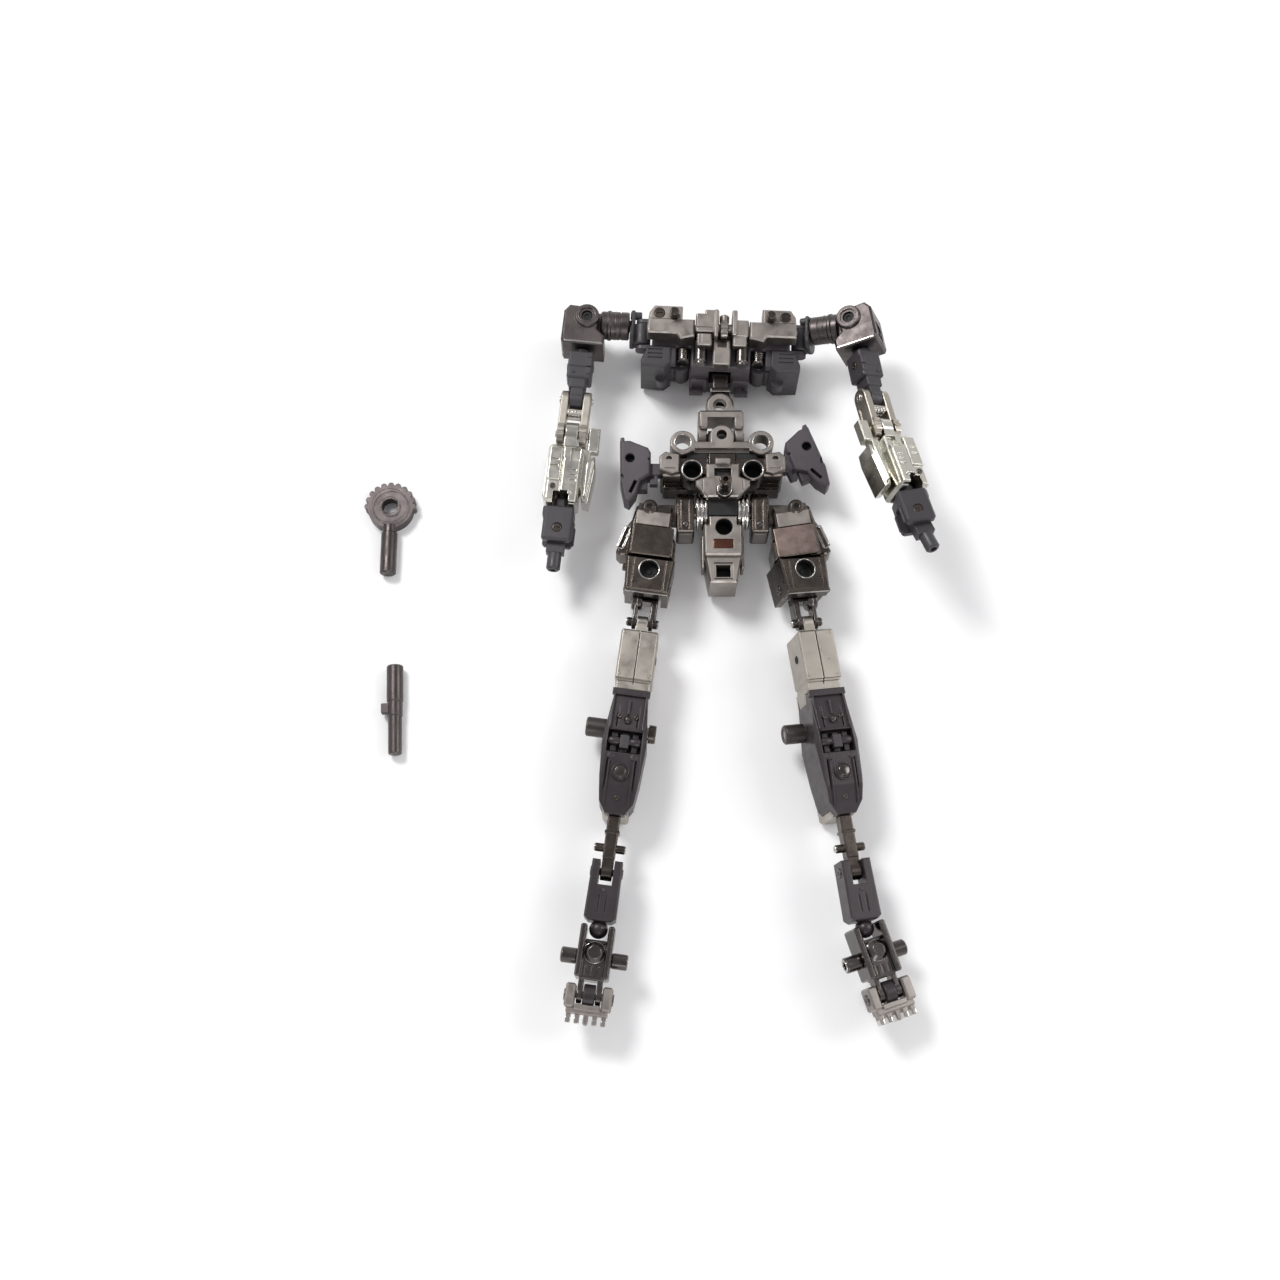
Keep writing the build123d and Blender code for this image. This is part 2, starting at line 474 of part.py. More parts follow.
def thigh_upper():
    """Thigh casting: light top, dark sloping front, round side knob and outer panel."""
    outline = [(-3.5, 1.0), (-2.2, 1.8), (3.6, 1.8), (5.0, 0.2), (5.7, -4.0), (5.7, -THIGH_TOP),
               (-5.3, -THIGH_TOP), (-5.3, -8.0), (-3.7, -5.6)]
    body = plate(outline, (-5.4, 5.6), 0.6)
    front = cheek([(-4.6, 5.2), (-5.0, 6.2), (-THIGH_TOP, 6.6), (-THIGH_TOP, 5.0)], (-4.6, 5.0), 0.3)
    top_bevel = cheek([(2.0, 2.6), (2.0, 7.0), (-2.6, 7.0)], (-6, 7))
    back_bevel = cheek([(2.0, -2.6), (2.0, -6.0), (-1.6, -6.0)], (-6, 7))
    slot = block((-6.0, 2.75), (-3.7, 3.0), (-1.8, 1.8), 0)
    panel = plate([(5.2, -2.0), (6.4, -4.0), (8.4, -11.2), (7.4, -12.0), (5.2, -11.6)], (-3.0, 3.4), 0.4)
    pocket = Pos(6.9, -7.6, 3.6) * Rot(0, 0, 14) * Box(1.2, 5.4, 1.8)
    swivel = rod_y(2.0 + RUN, (-THIGH_TOP - 1, -THIGH_TOP + 3.5))
    return body + front + panel - top_bevel - back_bevel - slot - pocket - swivel + rod_z(1.2, (-2.2, 2.2))


def thigh_knob():
    """Dark round knob at the top of the thigh."""
    return rod_z(1.8, (3.2, 6.2), 1.9, 0.0, 0.5) - rod_z(0.7, (5.6, 7.0), 1.9, 0.0)


def thigh_lower():
    """Dark lower thigh with a round front socket and a clevis for the knee link."""
    front = plate([(-5.7, -GAP), (5.7, -GAP), (5.1, -8.6), (-5.1, -8.6)], (-5.4, 6.0), 0.5)
    lip = block((-5.3, 5.3), (-9.2, -8.0), (2.2, 5.6), 0.25)
    stud = rod_x(0.9, (5.0, 6.4), -2.2, 2.0, 0.2)
    hole = rod_z(2.2, (3.4, 8.0), 0, -3.3)
    slot = block((-3.5, 3.5), (-10.0, -3.4), (-7.0, 2.6), 0)
    lines = both_sides(block((3.6, 3.85), (-8.7, -0.8), (5.8, 6.5), 0))
    swivel = rod_y(2.0, (-1.0, 3.0))
    return front + lip + stud + swivel - hole - slot - lines + rod_x(1.0, (-4.6, 4.6), -THIGH_LOW)


def knee_link():
    """Short double-ended knee link with a cross pin whose ends stand proud."""
    end = -KNEE_LINK
    top = rod_x(2.4, (-3.2, 3.2), edge=0.2)
    bars = block((-3.0, -1.5), (end + 0.4, 0.0), (-1.7, 1.7), 0.2)
    bars += block((1.5, 2.4), (end + 0.4, 0), (-1.7, 1.7), 0.2)
    drum = rod_x(2.3, (0.6, 3.1), -3.0, 0, 0.3) + block((-1.6, 1.6), (-3.6, 0.0), (-1.6, 1.6), 0)
    ears = both_sides(rod_x(1.7, (1.5, 2.4), end))
    pin = rod_x(0.8, (-3.3, 3.3), end) + both_sides(rod_x(1.05, (2.3, 3.6), end, 0, 0.15))
    return top + bars + drum + ears + pin - rod_x(1.0 + RUN, (-5, 5))


def shin_block():
    """Champagne shin: knuckle, split front plates, side strips and the calf's core."""
    knuckle = rod_x(1.6, (-1.25, 1.25), edge=0.15) + block((-1.25, 1.25), (-4.0, 0.0), (-1.5, 1.5), 0)
    plates = block((-4.3, 4.3), (-15.4, -3.2), (-4.6, 4.8), 0.4)
    seam = block((-0.15, 0.15), (-16, -3), (3.2, 6), 0)
    groove = block((-5, 5), (-15.6, -14.9), (4.2, 6), 0)
    core = block((-3.0, 3.0), (-46.2, -15.2), (SHIN_BACK, 0.4), 0.5)
    band = block((-3.9, 3.9), (-17.4, -15.2), (-3.5, 3.8), 0.2)
    strips = both_sides(block((3.1, 3.9), (-27.0, -15.4), (-4.6, 0.6), 0.2))
    shaft_bore = rod_x(1.5, (-6, 6), -25.6, -2.6)
    return knuckle + plates + core + band + strips - seam - groove - shaft_bore - rod_x(0.8 + RUN, (-3, 3))


def shin_shaft():
    """Cross shaft through the calf, with a large drum on one end and a small one on the other."""
    small = rod_x(2.1, (5.25, 6.5), -25.6, -2.6, 0.2)
    large = rod_x(2.2, (-9.4, -5.25), -25.6, -2.6, 0.3)
    return rod_x(1.5, (-6.0, 6.0), -25.6, -2.6) + small + large


def calf_cover():
    """Long matte calf shell: narrow lip, broad middle with a window, tapering foot."""
    outline = [(-3.7, -17.6), (3.7, -17.6), (4.0, -20.0), (5.1, -30.0), (4.6, -38.0), (3.9, -43.6),
               (2.2, -46.2), (-2.2, -46.2), (-3.9, -43.6), (-4.6, -38.0), (-5.1, -30.0), (-4.0, -20.0)]
    shell = plate(outline, (-5.4, 5.6), 0.9)
    slope = cheek([(-47, 7), (-47, 2.6), (-40.0, 4.8), (-32.0, 5.6), (-31.0, 7)], (-7, 7))
    upper_slope = cheek([(-17, 7), (-17, 4.0), (-27.0, 5.4), (-28.0, 7)], (-7, 7))
    core_room = block((-3.05, 3.05), (-48, -17), (-10.0, 0.45), 0)
    strip_room = both_sides(block((3.0, 3.95), (-27.1, -17), (-4.7, 0.65), 0))
    window = block((-3.9, 3.9), (-32.6, -27.4), (3.2, 7), 0)
    rails = both_sides(block((3.0, 3.4), (-43.0, -34.0), (4.3, 7), 0)
                       + block((2.1, 2.5), (-26.6, -19.5), (4.6, 7), 0))
    bars = Pos(0, -30.0, 3.6) * repeated(GridLocations(2.4, 0, 3, 1), Box(1.3, 4.4, 1.4))
    bore = rod_x(1.5 + 0.02, (-7, 7), -25.6, -2.6)
    return shell - slope - upper_slope - core_room - strip_room - window - rails - bore + bars


def calf_bolt():
    """Round bolts of the calf cover: one large domed head and two small screws."""
    head = rod_z(1.7, (3.4, 5.9), 0, -37.0, 0.45)
    screws = both_sides(rod_z(0.75, (4.4, 5.7), 2.6, -33.6, 0.2))
    return head + screws


def ankle_rod():
    """Dark square rod from the calf to the ankle knuckle, with a proud cross pin."""
    rod = block((-1.4, 1.4), (-56.0, -46.2), (-1.6, 1.6), 0.25)
    waist = block((-1.7, 1.7), (-50.4, -49.6), (-1.7, 1.7), 0.2)
    pin = rod_x(0.95, (-3.4, 3.4), -53.6, 0.2, 0.15)
    knuckle = rod_x(1.9, (-1.3, 1.3), -SHIN, 0, 0.15) + block((-1.3, 1.3), (-SHIN, -54.0), (-1.4, 1.4), 0)
    return rod + waist + pin + knuckle - rod_x(0.8 + RUN, (-3, 3), -SHIN)


def ankle_fork():
    """Dark fork on the ankle pin that narrows to the ball of the foot joint."""
    body = plate([(-3.4, 2.4), (3.4, 2.4), (3.6, -10.4), (2.6, -11.2), (-2.6, -11.2), (-3.6, -10.4)],
                 (-2.8, 2.8), 0.3)
    slot = block((-1.6, 1.6), (-3.2, 4.0), (-4, 4), 0)
    grooves = Pos(0, -7.4, 2.8) * repeated(GridLocations(1.6, 0, 2, 1), Box(0.3, 4.0, 0.5))
    ball = rod_y(1.4, (-FORK, -11.0)) + Pos(0, -FORK, 0) * Sphere(2.1)
    return body + rod_x(0.8, (-3.0, 3.0)) + ball - slot + rod_x(0.8, (-2.0, 2.0)) - grooves


def foot_clevis():
    """Foot frame around the ball: two cheeks, domed heel and the toe hinge ears."""
    cheeks = both_sides(block((2.35, 3.8), (-11.0, 0.6), (-3.6, 3.6), 0.35))
    web = block((-2.6, 2.6), (-11.4, -3.2), (-3.2, 2.4), 0.3)
    dome = rod_z(2.3, (0.0, 3.9), 0, -5.4, 0.9)
    ears = both_sides(block((1.5, 2.7), (-FOOT, -10.5), (-1.7, 1.7), 0.2)
                      + rod_x(1.9, (1.5, 2.7), -FOOT, 0, 0.1))
    slits = Pos(0, -9.4, 2.6) * repeated(GridLocations(1.4, 0, 3, 1), Box(0.5, 2.0, 0.8))
    room = Sphere(2.1 + RUN)
    return cheeks + web + dome + ears - slits - room - rod_x(0.8 + RUN, (-4, 4), -FOOT)


def foot_pin():
    """Heavy cross pin of the foot, hollow at both ends."""
    pin = rod_x(1.75, (3.85, 7.4), -6.4, 0, 0.25) - rod_x(0.8, (6.4, 8.0), -6.4)
    return both_sides(pin)


def toe_block():
    """Toe hinge drum with light cheeks and a row of claw teeth."""
    drum = rod_x(2.4, (-1.3, 1.3), edge=0.2) + block((-3.0, 3.0), (-3.4, -2.1), (-2.0, 2.0), 0.2)
    cheeks = both_sides(block((2.95, 5.2), (-3.0, 2.2), (-2.4, 2.4), 0.4))
    bed = block((-4.6, 4.6), (-4.2, -2.4), (-1.6, 1.6), 0.2)
    teeth = Pos(0, -4.9, 0) * repeated(GridLocations(1.95, 0, 5, 1), Box(1.0, 2.6, 2.2))
    middle = block((-0.5, 0.5), (-6.4, -4.0), (-1.4, 1.4), 0.2)
    return drum + cheeks + bed + teeth + middle + rod_x(0.8, (-3.2, 3.2))


# ---------------------------------------------------------------- loose pieces

def toothed_disc():
    """Disc with rounded teeth round its upper half, a centre bore and a short peg."""
    half_turn = PolarLocations(DISC_R, 11, start_angle=0, angular_range=180, endpoint=True)
    outline = repeated(half_turn, Circle(0.75)) + Circle(DISC_R)
    disc = extrude(outline, amount=DISC_THICK, dir=(0, 0, 1))
    peg = rod_y(1.95, (-17.0, -6.4), 0, 1.95, 0.3) + rod_y(1.75, (-6.5, -4.6), 0, 1.95)
    return disc + peg - rod_z(2.0, (-1, 5))


def stepped_pin():
    """Straight pin in two thicknesses with a small locking tab."""
    pin = rod_y(1.95, (3.3, 12.2), 0, 1.95, 0.25) + rod_y(1.78, (0, 3.4), 0, 1.95)
    pin += rod_y(1.6, (-9.2, 0.2), 0, 1.95, 0.25)
    return pin + block((-3.2, -1.2), (0.6, 3.0), (1.0, 2.9), 0.15)


# ---------------------------------------------------------------- assembly

def build_arm(chest, side):
    """Chain of one arm from the chest socket to the hand peg."""
    name = SIDE_NAME[side]
    pose = POSE[side]
    along_x, along_y, along_z = (1, 0, 0), (0, 1, 0), (0, 0, 1)
    bend = (-1, 0, 0)
    swing = chest.joined(f"{name}_shoulder_swing", f"{name}_shoulder_forward",
                         (SOCKET[0], SOCKET[1], ARM_Z - 10), (0, -1, 0), (-10, 35), pose["swing"], side)
    swing.add(f"{name}_shoulder_joint", shoulder_joint())
    drum = swing.joined(f"{name}_shoulder_turner", f"{name}_shoulder_turn",
                        (3.0, SPIGOT_UP, 0), bend, (-60, 150), pose["turn"])
    drum.add(f"{name}_shoulder_drum", shoulder_drum())
    raised = drum.joined(f"{name}_shoulder", f"{name}_arm_raise", (BOSS_OUT, 0, 0),
                         along_z, (0, 88), pose["raise_"])
    raised.add(f"{name}_shoulder_block", shoulder_block())
    upper = raised.joined(f"{name}_upper_arm_link", f"{name}_arm_twist", (0.4, -SHOULDER_DROP, 0),
                          along_y, (-90, 90), pose["twist"])
    upper.add(f"{name}_upper_arm", upper_arm())
    elbow = upper.joined(f"{name}_elbow", f"{name}_elbow_upper", (0, -UPPER_ARM, 0),
                         bend, (0, ELBOW_BEND), pose["elbow"])
    elbow.add(f"{name}_elbow_link", elbow_link())
    lower = elbow.joined(f"{name}_forearm_link", f"{name}_elbow_lower", (0, -ELBOW_LINK, 0),
                         bend, (0, ELBOW_BEND), pose["elbow"])
    lower.add(f"{name}_forearm", forearm())
    wrist = lower.joined(f"{name}_wrist", f"{name}_wrist_twist", (0.6, -FOREARM, 0),
                         along_y, (-90, 90), pose["wrist"])
    wrist.add(f"{name}_wrist_block", wrist_block())
    hand = wrist.joined(f"{name}_hand", f"{name}_hand_tilt", (0, -HAND_PIN, 0),
                        along_z, (-30, 30), pose["hand"])
    hand.add(f"{name}_hand_peg", hand_peg())


def build_leg(pelvis, side):
    """Chain of one leg from the hip axle to the toes."""
    name = SIDE_NAME[side]
    pose = POSE[side]
    bend = (1, 0, 0)
    hip = pelvis.joined(f"{name}_hip", f"{name}_hip_swing", (HIP[0], HIP[1], CORE_Z),
                        (-1, 0, 0), (-25, 68), 0, side)
    hip.add(f"{name}_hip_box", hip_box())
    thigh = hip.joined(f"{name}_thigh", f"{name}_hip_spread", (HIP_OUT, -1.0, 0),
                       (0, 0, 1), (2, 45), pose["spread"])
    thigh.add(f"{name}_thigh_upper", thigh_upper() + thigh_knob())
    lower = thigh.joined(f"{name}_lower_thigh", f"{name}_thigh_twist", (0, -THIGH_TOP, 0),
                         (0, -1, 0), (-40, 30), -pose["thigh"])
    lower.add(f"{name}_thigh_lower", thigh_lower())
    knee = lower.joined(f"{name}_knee", f"{name}_knee_upper", (0, -THIGH_LOW, 0),
                        bend, (0, KNEE_BEND), pose["knee"])
    knee.add(f"{name}_knee_link", knee_link())
    shin = knee.joined(f"{name}_shin", f"{name}_knee_lower", (0, -KNEE_LINK, 0),
                       bend, (0, KNEE_BEND), pose["knee"])
    shaft = shin_shaft() if side > 0 else mirror(shin_shaft(), about=Plane.YZ)
    shin.add(f"{name}_shin_block", shin_block() + shaft)
    shin.add(f"{name}_calf_cover", calf_cover() + calf_bolt())
    shin.add(f"{name}_ankle_rod", ankle_rod())
    ankle = shin.joined(f"{name}_ankle", f"{name}_ankle_pitch", (0, -SHIN, 0),
                        bend, (-30, 35), pose["ankle"])
    ankle.add(f"{name}_ankle_fork", ankle_fork())
    foot = ankle.joined(f"{name}_foot", f"{name}_foot_roll", (0, -FORK, 0),
                        (0, 0, 1), (-15, 15), pose["roll"])
    foot.add(f"{name}_foot_clevis", foot_clevis() + foot_pin())
    toe = foot.joined(f"{name}_toe", f"{name}_toe_bend", (0, -FOOT, 0),
                      bend, (-25, 30), pose["toe"])
    toe.add(f"{name}_toe_block", toe_block())


def build_torso(pelvis):
    """Waist bracket, spine bar, chest and neck post on the pelvis; returns the chest."""
    waist = pelvis.joined("waist", "waist_pitch", (0, WAIST_Y, WAIST_Z), (1, 0, 0), (-20, 25))
    waist.add("waist_bracket", waist_bracket())
    spine = waist.joined("spine", "torso_twist", (0, BAR_FOOT_Y - WAIST_Y, 0), (0, 1, 0), (-60, 60))
    spine.add("spine_bar", spine_bar())
    chest = spine.joined("chest", "chest_lean", (0, CHEST_Y - BAR_FOOT_Y, CHEST_Z - WAIST_Z),
                         (0, 0, 1), (-8, 8), CHEST_LEAN)
    chest.add("chest_core", chest_core())
    chest.add("left_chest_plate", chest_plate())
    chest.add("right_chest_plate", mirror(chest_plate(), about=Plane.YZ))
    chest.add("left_chest_box", chest_box())
    chest.add("right_chest_box", mirror(chest_box(), about=Plane.YZ))
    chest.add("chest_screws", chest_screws())
    chest.add("chest_pistons", chest_pistons())
    chest.add("collar_block", collar_block())
    chest.add("spine_plate", spine_plate())
    neck = chest.joined("neck", "neck_nod", NECK, (-1, 0, 0), (-8, 10))
    neck.add("neck_post", neck_post())
    return chest


def build_kit():
    """The whole robot and the two loose pieces, as placed on the table."""
    pelvis = Body("pelvis", Pos(0, 0, 0))
    pelvis.add("pelvis_frame", pelvis_frame())
    pelvis.add("waist_crossbar", waist_crossbar())
    pelvis.add("waist_yoke", waist_yoke())
    pelvis.add("pelvis_shield", pelvis_shield())
    pelvis.add("front_peg", front_peg())
    pelvis.add("side_plates", side_plates())
    pelvis.add("crotch_block", crotch_block())
    pelvis.add("hip_rings", hip_rings())
    chest = build_torso(pelvis)
    for side in (-1, 1):
        name = SIDE_NAME[side]
        flap = pelvis.joined(f"{name}_skirt", f"{name}_skirt_flare", (13.3, 39.5, 9.2),
                             (0, 0, 1), (-5, 35), POSE[side]["skirt"], side)
        flap.add(f"{name}_side_skirt", skirt())
        build_arm(chest, side)
        build_leg(pelvis, side)
    for name, place, solid in (("loose_disc", DISC_PLACE, toothed_disc()),
                               ("loose_pin", PIN_PLACE, stepped_pin())):
        body = Body(name, place)
        body.add("toothed_disc" if name == "loose_disc" else "stepped_pin", solid)
        joints.append(dict(name=f"{name}_lift", type="slide", parent="pelvis", child=name,
                           at=place.position, axis=Vector(0, 0, 1), limits=(0, LIFT)))


def settle_on_origin():
    """Shift everything so that the origin is the bottom centre of the whole kit."""
    box = Compound(children=[solid.moved(Location()) for solid in pieces.values()]).bounding_box()
    shift = Vector(-box.center().X, -box.center().Y, -box.min.Z)
    for node, solid in pieces.items():
        pieces[node] = Pos(*shift) * solid
    for joint in joints:
        joint["at"] = joint["at"] + shift
    return shift


build_kit()
origin_shift = settle_on_origin()
os.makedirs("parts", exist_ok=True)
for node, solid in pieces.items():
    export_step(solid, f"parts/{node}.step")
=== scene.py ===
"""Looks of the small humanoid robot kit frame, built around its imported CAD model.

Sizes in the piece tables are millimetres in each body's own frame: X outwards, Y up the
limb and Z out of the front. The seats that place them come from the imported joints.
"""
import json
import math

import bmesh
import bpy
from mathutils import Matrix, Vector


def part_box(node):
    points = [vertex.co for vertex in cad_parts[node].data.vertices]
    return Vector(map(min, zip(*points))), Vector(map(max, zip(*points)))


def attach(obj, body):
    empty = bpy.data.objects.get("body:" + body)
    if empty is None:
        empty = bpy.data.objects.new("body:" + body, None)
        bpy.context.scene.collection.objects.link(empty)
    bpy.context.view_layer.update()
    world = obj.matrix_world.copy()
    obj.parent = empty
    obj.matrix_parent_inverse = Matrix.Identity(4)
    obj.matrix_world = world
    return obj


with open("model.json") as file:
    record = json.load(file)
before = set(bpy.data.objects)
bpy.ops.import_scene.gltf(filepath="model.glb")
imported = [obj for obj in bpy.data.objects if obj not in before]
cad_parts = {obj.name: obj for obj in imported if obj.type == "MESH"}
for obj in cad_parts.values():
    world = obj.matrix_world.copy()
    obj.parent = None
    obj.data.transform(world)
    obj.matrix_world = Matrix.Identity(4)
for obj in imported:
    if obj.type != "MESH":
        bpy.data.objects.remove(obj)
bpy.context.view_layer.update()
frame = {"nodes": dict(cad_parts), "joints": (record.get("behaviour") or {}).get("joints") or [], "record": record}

MM = 0.001
JOINTS = {j["name"]: j for j in frame["joints"]}
SIDES = {"right": -1, "left": 1}

# ---------------------------------------------------------------- camera and studio

ELEVATION = math.radians(73)
DISTANCE = 0.410
LENS = 48.4
AIM_FROM_HIPS = Vector((-0.0195, -0.0290, -0.0090))


def middle(a, b):
    """Point half way between two joints."""
    return (Vector(JOINTS[a]["pos_m"]) + Vector(JOINTS[b]["pos_m"])) / 2


HIPS = middle("left_hip_swing", "right_hip_swing")
aim = HIPS + AIM_FROM_HIPS

camera = bpy.data.objects.new("camera", bpy.data.cameras.new("camera"))
bpy.context.scene.collection.objects.link(camera)
camera.data.lens = LENS
camera.data.sensor_width = 36
camera.data.clip_start = 0.01
camera.location = aim + DISTANCE * Vector((0, -math.cos(ELEVATION), math.sin(ELEVATION)))
camera.rotation_euler = (math.pi / 2 - ELEVATION, 0, 0)
bpy.context.scene.camera = camera
bpy.context.scene.view_settings.view_transform = "Standard"


def softbox(name, place, size, watts):
    light = bpy.data.lights.new(name, "AREA")
    light.size = size
    light.energy = watts
    lamp = bpy.data.objects.new(name, light)
    lamp.location = place
    lamp.rotation_euler = (HIPS - Vector(place)).to_track_quat("-Z", "Y").to_euler()
    bpy.context.scene.collection.objects.link(lamp)


softbox("key", (-0.32, 0.34, 0.60), 0.22, 3.4)
softbox("fill", (0.55, 0.10, 0.42), 0.30, 1.5)
softbox("front", (0.05, -0.60, 0.30), 0.25, 0.9)

# The sky is white up to the horizon and grey overhead, which is what the flat tops mirror.
SKY_STRENGTH = 0.92
SKY_STOPS = ((0.0, (1.0, 1.0, 1.0, 1)), (0.90, (0.40, 0.39, 0.41, 1)))

world = bpy.data.worlds.new("studio")
bpy.context.scene.world = world
world.use_nodes = True
sky = world.node_tree
background = sky.nodes["Background"]
background.inputs["Strength"].default_value = SKY_STRENGTH
direction = sky.nodes.new("ShaderNodeTexCoord")
height = sky.nodes.new("ShaderNodeSeparateXYZ")
tone = sky.nodes.new("ShaderNodeValToRGB")
for stop, (height_share, colour) in zip(tone.color_ramp.elements, SKY_STOPS):
    stop.position = height_share
    stop.color = colour
sky.links.new(direction.outputs["Generated"], height.inputs[0])
sky.links.new(height.outputs["Z"], tone.inputs["Fac"])
sky.links.new(tone.outputs["Color"], background.inputs["Color"])


# ---------------------------------------------------------------- materials

class Graph:
    """Short calls for building a node tree."""

    def __init__(self, name):
        self.material = bpy.data.materials.new(name)
        self.material.use_nodes = True
        self.tree = self.material.node_tree
        self.shader = self.tree.nodes["Principled BSDF"]
        self.place = self.add("ShaderNodeTexCoord").outputs["Object"]

    def add(self, kind, **settings):
        """New node with some of its properties set."""
        node = self.tree.nodes.new(kind)
        for key, value in settings.items():
            setattr(node, key, value)
        return node

    def feed(self, socket, value):
        """Link another node's output to an input, or set the input to a value."""
        if isinstance(value, bpy.types.NodeSocket):
            self.tree.links.new(value, socket)
        else:
            socket.default_value = value

    def noise(self, size_mm, detail=3.0, stretch=(1, 1, 1), roughness=0.5):
        """Noise whose blobs are about size_mm across."""
        source = self.place
        if stretch != (1, 1, 1):
            mapping = self.add("ShaderNodeMapping")
            self.feed(mapping.inputs["Vector"], source)
            mapping.inputs["Scale"].default_value = stretch
            source = mapping.outputs["Vector"]
        node = self.add("ShaderNodeTexNoise")
        self.feed(node.inputs["Vector"], source)
        node.inputs["Scale"].default_value = 1 / (size_mm * MM)
        node.inputs["Detail"].default_value = detail
        node.inputs["Roughness"].default_value = roughness
        return node.outputs["Fac"]

    def math(self, operation, a, b, clamp=False):
        """Result of one operation on two values."""
        node = self.add("ShaderNodeMath", operation=operation, use_clamp=clamp)
        self.feed(node.inputs[0], a)
        self.feed(node.inputs[1], b)
        return node.outputs[0]

    def spread(self, value, low, high, start=0.3, end=0.7):
        """The range from start to end of a value, stretched over low to high."""
        node = self.add("ShaderNodeMapRange")
        self.feed(node.inputs["Value"], value)
        node.inputs["From Min"].default_value = start
        node.inputs["From Max"].default_value = end
        node.inputs["To Min"].default_value = low
        node.inputs["To Max"].default_value = high
        return node.outputs["Result"]

    def mix(self, share, a, b):
        """Blend of two colours."""
        node = self.add("ShaderNodeMix", data_type="RGBA")
        self.feed(node.inputs["Factor"], share)
        self.feed(node.inputs["A"], a)
        self.feed(node.inputs["B"], b)
        return node.outputs["Result"]

    def edges(self, radius_mm, strength):
        """Mask that is 1 on outer edges, which are lightened partly for wear and partly as painted highlight, and
        the normal rounded over them.
        """
        soft = self.add("ShaderNodeBevel", samples=6)
        soft.inputs["Radius"].default_value = radius_mm * MM
        flat = self.add("ShaderNodeNewGeometry").outputs["True Normal"]
        dot = self.add("ShaderNodeVectorMath", operation="DOT_PRODUCT")
        self.feed(dot.inputs[0], soft.outputs["Normal"])
        self.feed(dot.inputs[1], flat)
        off = self.math("SUBTRACT", 1.0, dot.outputs["Value"])
        return self.math("MULTIPLY", off, strength, clamp=True), soft.outputs["Normal"]

    def bump(self, height, distance_mm, strength, normal):
        """Normal roughened by a height."""
        node = self.add("ShaderNodeBump")
        self.feed(node.inputs["Height"], height)
        self.feed(node.inputs["Normal"], normal)
        node.inputs["Distance"].default_value = distance_mm * MM
        node.inputs["Strength"].default_value = strength
        return node.outputs["Normal"]


GRAIN_DEPTH = 0.02              # height of the castings' grain and the mouldings' texture, in mm
MOULD_DEPTH = 0.015


def shade(colour, factor):
    """A colour made lighter or darker, with full opacity."""
    return tuple(min(1.0, c * factor) for c in colour) + (1.0,)


def metal(name, colour, rough, edge, grain, patina, tint=None, specks=0.35):
    """Plated casting: cloudy plating, fine grain, smudged gloss and bright edges, partly wear and partly painted
    highlight.
    """
    g = Graph(name)
    edge_wear_and_highlight, round_normal = g.edges(radius_mm=0.22, strength=3.0)
    cloud = g.noise(9.0, detail=4.0)
    speck = g.noise(0.22, detail=2.0)
    smudge = g.noise(3.2, detail=5.0, roughness=0.65)
    base = g.mix(g.spread(cloud, 0.0, 1.0), shade(colour, 1 - patina), shade(tint or colour, 1 + patina))
    base = g.mix(g.spread(speck, 0.0, specks, start=0.45, end=0.75), base, shade(colour, 0.6))
    # The edges are made lighter by the factor edge: partly wear, partly a painted highlight along them.
    base = g.mix(g.math("MULTIPLY", edge_wear_and_highlight, 0.8), base, shade(colour, edge))
    g.feed(g.shader.inputs["Base Color"], base)
    g.shader.inputs["Metallic"].default_value = 1.0
    g.feed(g.shader.inputs["Roughness"], g.spread(smudge, rough * 0.72, min(1, rough * 1.4)))
    g.feed(g.shader.inputs["Normal"], g.bump(speck, GRAIN_DEPTH, grain, round_normal))
    return g.material


def plastic(name, colour, rough, edge, metallic=0.0):
    """Matte moulded plastic: fine spark-eroded texture, faint flow marks and rubbed edges that are lightened
    partly for wear and partly as painted highlight.
    """
    g = Graph(name)
    edge_wear_and_highlight, round_normal = g.edges(radius_mm=0.35, strength=2.2)
    flow = g.noise(7.0, stretch=(1, 0.35, 1))
    texture = g.noise(0.16, roughness=0.7)
    rub = g.noise(2.2, detail=4.0)
    base = g.mix(g.spread(flow, 0.0, 1.0), shade(colour, 0.82), shade(colour, 1.2))
    base = g.mix(g.spread(texture, 0.0, 0.3), base, shade(colour, 1.5))
    # Rubbed edges made lighter by the factor edge: partly wear, partly a painted highlight along them.
    base = g.mix(g.math("MULTIPLY", edge_wear_and_highlight, g.spread(rub, 0.3, 0.9)), base, shade(colour, edge))
    g.feed(g.shader.inputs["Base Color"], base)
    g.shader.inputs["Metallic"].default_value = metallic
    g.shader.inputs["Specular IOR Level"].default_value = 0.45
    g.feed(g.shader.inputs["Roughness"], g.spread(rub, rough * 0.85, min(1, rough * 1.2)))
    g.feed(g.shader.inputs["Normal"], g.bump(texture, MOULD_DEPTH, 0.5, round_normal))
    return g.material
